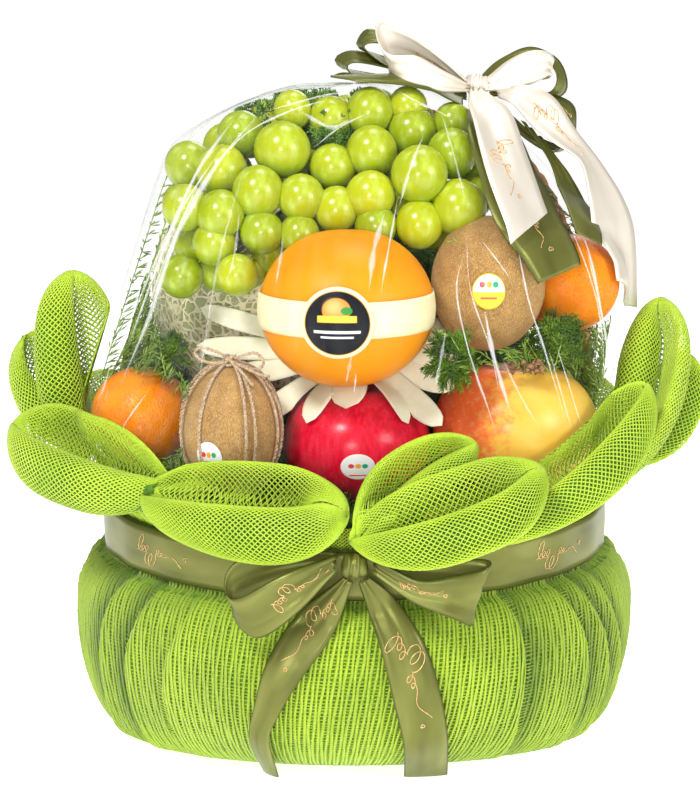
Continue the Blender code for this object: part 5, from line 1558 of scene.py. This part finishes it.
# the bunch of grapes
berries = [
    # the ones that show: centre and radius in mm
    (-86, -22, 299, 12), (-59, -22, 315, 11.7), (-32, -22, 328, 9.3), (8, -22, 327, 11.7),
    (30, -22, 317, 12.2), (28, -20, 330, 9.3), (51, -22, 322, 9.3),
    (-68, -40, 298, 12.3), (-37, -40, 309, 13.8), (-11, -40, 300, 11.3), (9, -40, 308, 12.3),
    (50, -40, 307, 11.8),
    (-86, -56, 281, 11.2), (-49, -56, 289, 12.4), (-27, -56, 286, 11.4), (-9, -56, 280, 10.9),
    (8, -56, 287, 11.9), (33, -56, 298, 13.7), (53, -56, 281, 13.5),
    (-68, -60, 278, 11.7), (-47, -60, 269, 10.7), (-28, -60, 268, 9.7), (11, -60, 272, 10.2),
    (33, -60, 273, 11.4), (-71, -60, 263, 10.7),
    (-70, -50, 247, 9.5), (-54, -50, 248, 8.7), (-44, -50, 257, 9.2),
    (-68, 8, 306, 12), (-44, 4, 318, 12), (-18, 6, 322, 12), (12, 4, 324, 12),
    (-56, 32, 311, 12), (-30, 30, 318, 12), (-4, 32, 319, 12), (22, 30, 314, 12), (-16, 54, 308, 12),
]
bunch = {"tries": 9000, "radii": (0.0100, 0.0118), "reach": 0.012, "overlap": 0.90, "swell": 1.07, "rows": 14,
         "columns": 22, "middle": (-20, -6, 292), "stem": 0.0009}


def grapePaint():
    paint, way = skinPaint("grapeSkin", Roughness=0.20, Subsurface_Weight=0.25, Subsurface_Scale=0.005,
                           Subsurface_Radius=(0.6, 1.0, 0.15), Coat_Weight=0.15, Coat_Roughness=0.08)
    shade = paint.stored("ripeness")
    cloud = paint.noise(paint.scaled(way, (3, 3, 1.4)), 1.0, 3.0)
    colour = paint.mix(shade, (0.33, 0.43, 0.006), (0.50, 0.55, 0.006))
    colour = paint.mix(cloud.step(0.45, 0.75) * 0.5, colour, (0.60, 0.76, 0.13))
    z = paint.parts(way)[2]
    # darker green towards each berry's bottom: painted shade
    colour = paint.mix((0 - z).step(0.1, 1.0) * 0.45, colour, (0.22, 0.42, 0.025))
    specks = paint.cells(way, 9.0)
    colour = paint.mix((1 - specks.step(0.02, 0.06)) * 0.35, colour, (0.30, 0.26, 0.04))
    paint.colour(colour)
    paint.set("Roughness", 0.16 + 0.16 * cloud)
    return paint


def makeGrapes():
    solid = nodeTree("grape_bunch")
    low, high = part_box("grape_bunch")
    draw = random.Random(9)
    chosen = [np.array(berry, float) * mm for berry in berries]
    # more berries fill the bunch behind those that show
    for _ in range(bunch["tries"]):
        place = Vector([draw.uniform(low[k], high[k]) for k in range(3)])
        hit, normal, _, distance = solid.find_nearest(place)
        if distance > bunch["reach"] and (place - hit).dot(normal) > 0:
            continue
        radius = draw.uniform(*bunch["radii"])
        away = place - filmCentre
        if away.length + radius + 2 * mm > filmReach(away.normalized()):
            continue
        place = np.array(place)
        apart = min(np.linalg.norm(place - other[:3]) - (radius + other[3]) * bunch["overlap"]
                    for other in chosen)
        if apart > 0 and not insideFruit(place[None, :], radius * 0.8)[0]:
            chosen.append(np.array((*place, radius)))
    rows, columns = bunch["rows"], bunch["columns"]
    sphere = sphereWays(rows, columns, 0.02)[0].reshape(-1, 3)
    cell = ringFaces(rows, columns)
    cell += [tuple(range(columns))[::-1], tuple(range((rows - 1) * columns, rows * columns))]
    points, faces, ways, ripeness, stems = [], [], [], [], []
    middle = np.array(bunch["middle"]) * mm
    for berry in chosen:
        tilt = np.array((draw.gauss(0, 0.25), draw.gauss(0, 0.25), 1.0))
        axis = unit(tilt)
        stretch = 1.02 + 0.05 * draw.random()
        body = sphere * (1 - 0.02 * np.abs(sphere[:, 2:]) * draw.random())
        body = body + np.outer(body @ axis, axis) * (stretch - 1)
        start = len(points) * len(sphere)
        points.append(berry[:3] + body * berry[3] * bunch["swell"])
        ways.append(sphere)
        ripeness += [draw.random()] * len(sphere)
        faces += [tuple(start + k for k in face) for face in cell]
        centre, radius, inward = berry[:3], berry[3], unit(middle - berry[:3])
        stems.append(np.array([centre + inward * radius * 0.9,
                               centre + inward * (radius + 4 * mm) + np.array((0, 0, mm)),
                               centre + inward * (radius + 11 * mm)]))
    addPiece("grape_berries", np.vstack(points), faces, grapePaint(), ["grape_bunch"],
             {"way": np.vstack(ways), "ripeness": ripeness})
    green = Paint("grapeStem", Roughness=0.6)
    shade = green.noise(green.place(), 300.0).step(0.3, 0.7)
    green.colour(green.mix(shade, (0.20, 0.30, 0.05), (0.34, 0.36, 0.12)))
    points, faces = rods(stems, bunch["stem"], 5)
    addPiece("grape_stems", points, faces, green)
    print("basket: grapes,", len(chosen), "berries")


makeGrapes()


herb = {"middleSprigs": 90, "placeSprigs": 20, "needles": 17, "reach": 0.0042, "thick": 0.0005,
        # where more of it shows over the bunch's top
        "places": [(-28, -14, 323), (-14, -22, 320), (-43, -8, 322), (-5, -6, 330),
                   (-57, 4, 323), (-20, 0, 329), (-35, 4, 331), (-1, -20, 318)]}


def makeTopHerb():
    # curled sprigs among the grapes
    draw = random.Random(21)
    low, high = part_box("fern_top")
    centre, half = np.array((low + high) / 2), np.array((high - low) / 2)
    places, ways, lengths = [], [], []
    for _ in range(herb["middleSprigs"]):
        way = randomWay(draw)
        places.append(centre + way * half * 0.3)
        ways.append(way + np.array((0, -0.4, 0.2)))
        lengths.append(0.008)
    for place in herb["places"]:
        for _ in range(herb["placeSprigs"]):
            way = randomWay(draw)
            places.append(np.array(place) * mm + way * 0.004)
            ways.append(way + np.array((0, -0.5, 0.3)))
            lengths.append(draw.uniform(0.006, 0.011))
    lines = sprigs(places, ways, lengths, draw, herb["needles"], herb["reach"])
    points, faces = needleMesh(lines, herb["thick"])
    green = fernPaint("herbGreen", (0.04, 0.14, 0.012), (0.22, 0.42, 0.05))
    addPiece("fern_top_sprigs", clampInsideFilm(points), faces, green, ["fern_top"])
    print("basket: herb between the grapes,", len(places), "sprigs")


makeTopHerb()


# the dry calyx between the kiwi and the fruit below
calyx = {"scraps": 46, "radii": (0.0006, 0.0013, 0.0005), "lengths": (0.002, 0.0045)}


def makeCalyx():
    low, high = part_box("kiwi_calyx")
    centre, half = np.array((low + high) / 2), np.array((high - low) / 2)
    draw = random.Random(6)
    lines, radii = [], []
    for _ in range(calyx["scraps"]):
        angle = draw.uniform(0, math.tau)
        share = np.array((draw.uniform(-0.7, 0.7), draw.uniform(-0.8, 0.2), draw.uniform(-0.6, 0.6)))
        root = centre + share * half
        run = np.array((math.cos(angle), draw.uniform(-0.4, 0.1), math.sin(angle) * 0.5))
        run = run * draw.uniform(*calyx["lengths"])
        bend = np.array((0, -0.0009, 0.0009))
        lines.append(np.array([root - run / 2, root + bend, root + run / 2]))
        radii.append(np.array(calyx["radii"]) * draw.uniform(0.7, 1.2))
    lines = [smoothLine(line, 7) for line in lines]
    radii = [np.interp(np.linspace(0, 2, 7), [0, 1, 2], radius) for radius in radii]
    points, faces = tubes(lines, [sideways(line) for line in lines], radii, 7)
    for fruit in ("kiwi_right", "mango"):
        points = offFruit(points, fruit, 0.0004)
    bark = Paint("dryCalyx", Roughness=0.7)
    grain = bark.noise(bark.place(), 500.0, 4.0, 0.7)
    bark.colour(bark.mix(grain.step(0.3, 0.7), (0.13, 0.055, 0.02), (0.46, 0.25, 0.11)))
    bark.bump(grain, 0.0004, 0.7)
    addPiece("kiwi_calyx_husk", points, faces, bark, ["kiwi_calyx"])
    print("basket: calyx,", len(lines), "scraps")


makeCalyx()


# the clear film
film = {"columns": 208, "rows": 68, "smooth": 7, "ridge": 0.0007, "plainReach": 0.124, "gap": 0.0010,
        "creasePoints": 36, "creaseColumns": 7, "creaseLift": 0.0003, "creaseHeight": 0.0009}
creases = [
    # a route through the rendered view, the crease's half-width in mm at its widest, how white its painted
    # highlight is
    ([(236, 118), (196, 176), (160, 262), (128, 350)], 2.6, 0.60),
    ([(262, 112), (214, 170), (176, 240), (150, 318), (122, 384)], 3.0, 0.55),
    ([(205, 170), (170, 250), (150, 305)], 1.5, 0.5),
    ([(228, 140), (176, 220), (140, 300), (112, 372)], 1.2, 0.55),
    ([(250, 150), (222, 250), (206, 340), (200, 380)], 1.6, 0.22),
    ([(330, 100), (290, 112), (250, 132), (222, 158)], 1.4, 0.55),
    ([(352, 92), (318, 98), (268, 112)], 1.6, 0.45),
    ([(385, 212), (374, 250), (368, 292)], 2.4, 0.42), ([(398, 196), (388, 250), (380, 296)], 1.0, 0.55),
    ([(356, 372), (354, 394)], 0.8, 0.4), ([(352, 352), (346, 384)], 1.4, 0.25),
    ([(466, 246), (456, 290), (468, 350), (486, 404), (498, 440)], 1.0, 0.5),
    ([(466, 232), (470, 290), (490, 350), (500, 400)], 0.7, 0.40),
    ([(484, 310), (492, 352), (512, 420)], 2.2, 0.55), ([(500, 354), (520, 396), (540, 430)], 1.0, 0.35),
    ([(512, 220), (528, 300), (544, 350), (566, 424)], 1.1, 0.5),
    ([(556, 346), (568, 384), (582, 430)], 0.7, 0.6),
    ([(548, 350), (560, 390), (572, 432)], 0.8, 0.5), ([(480, 240), (498, 262), (510, 280)], 0.8, 0.5),
    ([(445, 330), (440, 360), (434, 392)], 1.6, 0.30), ([(424, 134), (410, 170), (398, 210)], 1.6, 0.45),
    ([(572, 214), (590, 260), (604, 330), (614, 384)], 1.5, 0.50),
    ([(560, 200), (596, 300), (604, 380)], 1.0, 0.45),
    ([(586, 250), (600, 310), (610, 372)], 0.7, 0.55), ([(440, 110), (452, 150), (468, 214)], 0.9, 0.4),
    ([(398, 92), (420, 104), (450, 118)], 1.2, 0.45), ([(300, 112), (330, 128), (352, 120)], 2.6, 0.40),
    ([(312, 150), (340, 128), (372, 112)], 1.0, 0.45), ([(240, 210), (236, 250), (228, 284)], 1.5, 0.28),
    ([(284, 236), (280, 262), (276, 286)], 1.4, 0.25), ([(150, 390), (128, 420), (118, 440)], 1.0, 0.45),
    ([(112, 360), (106, 384), (98, 402)], 0.9, 0.4),
]


def makeFilm():
    rows, columns = film["rows"], film["columns"]
    azimuths = np.linspace(0, math.tau, columns, endpoint=False)
    rises = np.linspace(0.012, math.pi / 2 - 0.012, rows)
    # the smoothed film stays outside what it covers
    covered = ("grape_bunch", "handle", "paper_collar", *fruits)
    contents = nodeTree(*[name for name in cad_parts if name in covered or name.startswith("fern")])
    reach, least = np.zeros((rows, columns)), np.zeros((rows, columns))
    for i, rise in enumerate(rises):
        for j, azimuth in enumerate(azimuths):
            way = upWay(azimuth, rise)
            reach[i, j] = filmReach(way) or film["plainReach"]
            hit = contents.ray_cast(filmCentre + way * 0.6, -way)[0]
            least[i, j] = (hit - filmCentre).length + film["gap"] if hit else 0.0
    cadReach = reach.copy()
    for _ in range(film["smooth"]):
        around = (np.roll(reach, 1, 1) + np.roll(reach, -1, 1)) / 2
        above = np.vstack([reach[1:], np.roll(reach[-1:], columns // 2, 1)])
        below = np.vstack([reach[:1], reach[:-1]])
        reach = np.maximum(reach * 0.4 + around * 0.3 + (above + below) * 0.15, least)
        reach[0] = cadReach[0]
    # fine drawn lines that run up the film towards the bow
    lean = azimuths[None, :] + 0.5 * np.sin(rises[:, None] * 2) * np.sin(azimuths[None, :] - 0.9)
    drawn = (np.sin(lean * 31) ** 8 + 0.7 * np.sin(lean * 53 + 1) ** 10 + 0.6 * np.sin(lean * 17 + 2) ** 12)
    fade = np.clip(np.sin(rises * 1.8), 0, 1)[:, None]
    reach = reach + film["ridge"] * drawn * fade
    way = np.stack([np.cos(rises)[:, None] * np.sin(azimuths), -np.cos(rises)[:, None] * np.cos(azimuths),
                    np.sin(rises)[:, None] + 0 * azimuths], axis=2)
    grid = np.array(filmCentre) + way * reach[..., None]
    points = np.vstack([grid.reshape(-1, 3), grid[-1].mean(0)[None, :]])
    last = (rows - 1) * columns
    faces = ringFaces(rows, columns, upward=True)
    faces += [(last + j, last + (j + 1) % columns, rows * columns) for j in range(columns)]
    crest = np.append(drawn.clip(0, 1).reshape(-1), 0.0)
    addPiece("clear_film", points, faces, filmPaint(), ["film"], {"crest": crest})
    print("basket: film,", len(faces), "faces")
    return BVHTree.FromPolygons([Vector(point) for point in points], faces)


def filmPaint():
    paint = Paint("clearFilm", Roughness=0.06, IOR=1.45, Specular_IOR_Level=0.3)
    place = paint.place()
    x = paint.parts(place)[0]
    # painted highlights: white streaks and the drawn lines' crests, stronger on the lit left side; and a
    # grey-green painted reflection at grazing angles
    long = paint.noise(paint.scaled(place, (130, 130, 11)), 1.0, 3.0, 0.55)
    patch = paint.noise(place, 14.0, 2.0)
    streak = long.step(0.60, 0.76) * patch.step(0.46, 0.64)
    crest = paint.stored("crest")
    grazing = paint.node("ShaderNodeLayerWeight", None, {"Blend": 0.28}, "Facing")
    litSideShare = 1 - x.step(-0.11, 0.03) * 0.75
    alpha = streak * litSideShare * 0.20 + crest * litSideShare * 0.03 + (grazing ** 3.2) * 0.42
    paint.colour(paint.mix(grazing.step(0.45, 0.95), (0.93, 0.96, 0.95), (0.50, 0.58, 0.52)))
    paint.set("Alpha", alpha.least(0.7))
    fine = paint.noise(paint.scaled(place, (380, 380, 60)), 1.0, 2.0)
    paint.bump(fine + long * 2, 0.0004, 0.25)
    return paint


def makeCreases(filmShape):
    lines, widths, normals, white = [], [], [], []
    for route, width, strength in creases:
        route = np.array([(*point, 0.0) for point in route])
        path = (smoothLine if len(route) > 2 else evenLine)(route, film["creasePoints"])
        found = []
        for across, down, _ in path:
            start, way = cameraRay(across, down)
            hit, normal, _, _ = filmShape.ray_cast(start, way)
            if hit:
                found.append((np.array(hit), np.array(normal)))
        if len(found) < 6:
            continue
        lines.append(np.array([point for point, _ in found]))
        normals.append(unit(np.array([normal for _, normal in found])))
        widths.append(width * mm)
        white.append(strength)
    points, faces, across, strength, start = [], [], [], [], 0
    columns = film["creaseColumns"]
    for line, normal, width, glintStrength in zip(lines, normals, widths, white):
        count = len(line)
        t = np.linspace(0, 1, count)
        taper = np.sin(math.pi * np.clip(t * 0.94 + 0.03, 0, 1)) ** 0.7
        taper = taper * (0.75 + 0.25 * np.sin(t * 17 + width * 9000))
        side = unit(np.cross(np.gradient(line, axis=0), normal))
        for i in range(count):
            for j in range(columns):
                s = 2 * j / (columns - 1) - 1
                arch = film["creaseLift"] + (1 - s * s) * min(film["creaseHeight"], width * 0.5)
                points.append(line[i] + side[i] * s * width * taper[i] + normal[i] * arch)
                across.append(s)
                strength.append(glintStrength * min(1.0, 6 * t[i], 6 * (1 - t[i])))
        faces += [tuple(start + k for k in face) for face in gridFaces(count, columns)]
        start += count * columns
    # the white along each crease is a painted highlight
    paint = Paint("filmCreaseGlint", Roughness=0.08, Specular_IOR_Level=0.8)
    side = paint.stored("across").math("ABSOLUTE")
    wisp = paint.noise(paint.scaled(paint.place(), (420, 420, 40)), 1.0, 3.0, 0.6)
    paint.colour((0.96, 0.97, 0.98))
    paint.set("Alpha", (1 - side.step(0.25, 1.0)) * paint.stored("white") * (0.45 + 0.9 * wisp))
    addPiece("film_crease_glints", points, faces, paint, stored={"across": across, "white": strength})
    print("basket: creases,", len(lines))


makeCreases(makeFilm())


# floor, light and the world
stage = {"size": 6.0, "floor": (0.90, 0.90, 0.895), "floorGlow": 0.80, "skyLight": 0.24, "backdrop": 1.05}


def makeStage():
    mesh = bpy.data.meshes.new("floor")
    size = stage["size"]
    mesh.from_pydata([(-size, -size, 0), (size, -size, 0), (size, size, 0), (-size, size, 0)], [],
                     [(0, 1, 2, 3)])
    floor = bpy.data.objects.new("floor", mesh)
    bpy.context.scene.collection.objects.link(floor)
    pale = Paint("paleFloor", Roughness=0.9)
    pale.colour(stage["floor"])
    pale.set("Emission Color", (1.0, 1.0, 1.0))
    pale.set("Emission Strength", stage["floorGlow"])
    mesh.materials.append(pale.material)


lamps = [
    # name, place, size, power
    ("key", (-0.60, -1.05, 1.35), 0.36, 17), ("fill", (1.05, -0.95, 0.60), 0.50, 7),
    ("front", (-0.15, -1.45, 0.42), 0.3, 5),
    ("top", (0.15, 0.15, 1.5), 0.6, 5), ("rim", (0.3, 1.2, 0.9), 0.8, 4),
]


def makeLight():
    # the lens sees a white backdrop, the pieces are lit by a dimmer one
    world = bpy.data.worlds.new("studio")
    bpy.context.scene.world = world
    world.use_nodes = True
    tree = world.node_tree
    path = tree.nodes.new("ShaderNodeLightPath")
    strength = tree.nodes.new("ShaderNodeMapRange")
    strength.inputs["To Min"].default_value = stage["skyLight"]
    strength.inputs["To Max"].default_value = stage["backdrop"]
    tree.links.new(path.outputs["Is Camera Ray"], strength.inputs["Value"])
    tree.links.new(strength.outputs["Result"], tree.nodes["Background"].inputs["Strength"])
    tree.nodes["Background"].inputs["Color"].default_value = (1, 1, 1, 1)
    for name, place, size, power in lamps:
        data = bpy.data.lights.new(name, "AREA")
        data.shape = "DISK"
        data.size = size
        data.energy = power
        lamp = bpy.data.objects.new(name, data)
        lamp.location = place
        lamp.rotation_euler = (Vector(view["aim"]) - Vector(place)).to_track_quat("-Z", "Y").to_euler()
        bpy.context.scene.collection.objects.link(lamp)
    bpy.context.scene.view_settings.view_transform = "Standard"
    print("basket: floor and", len(lamps), "lamps")


makeStage()
makeLight()
print("basket: done")
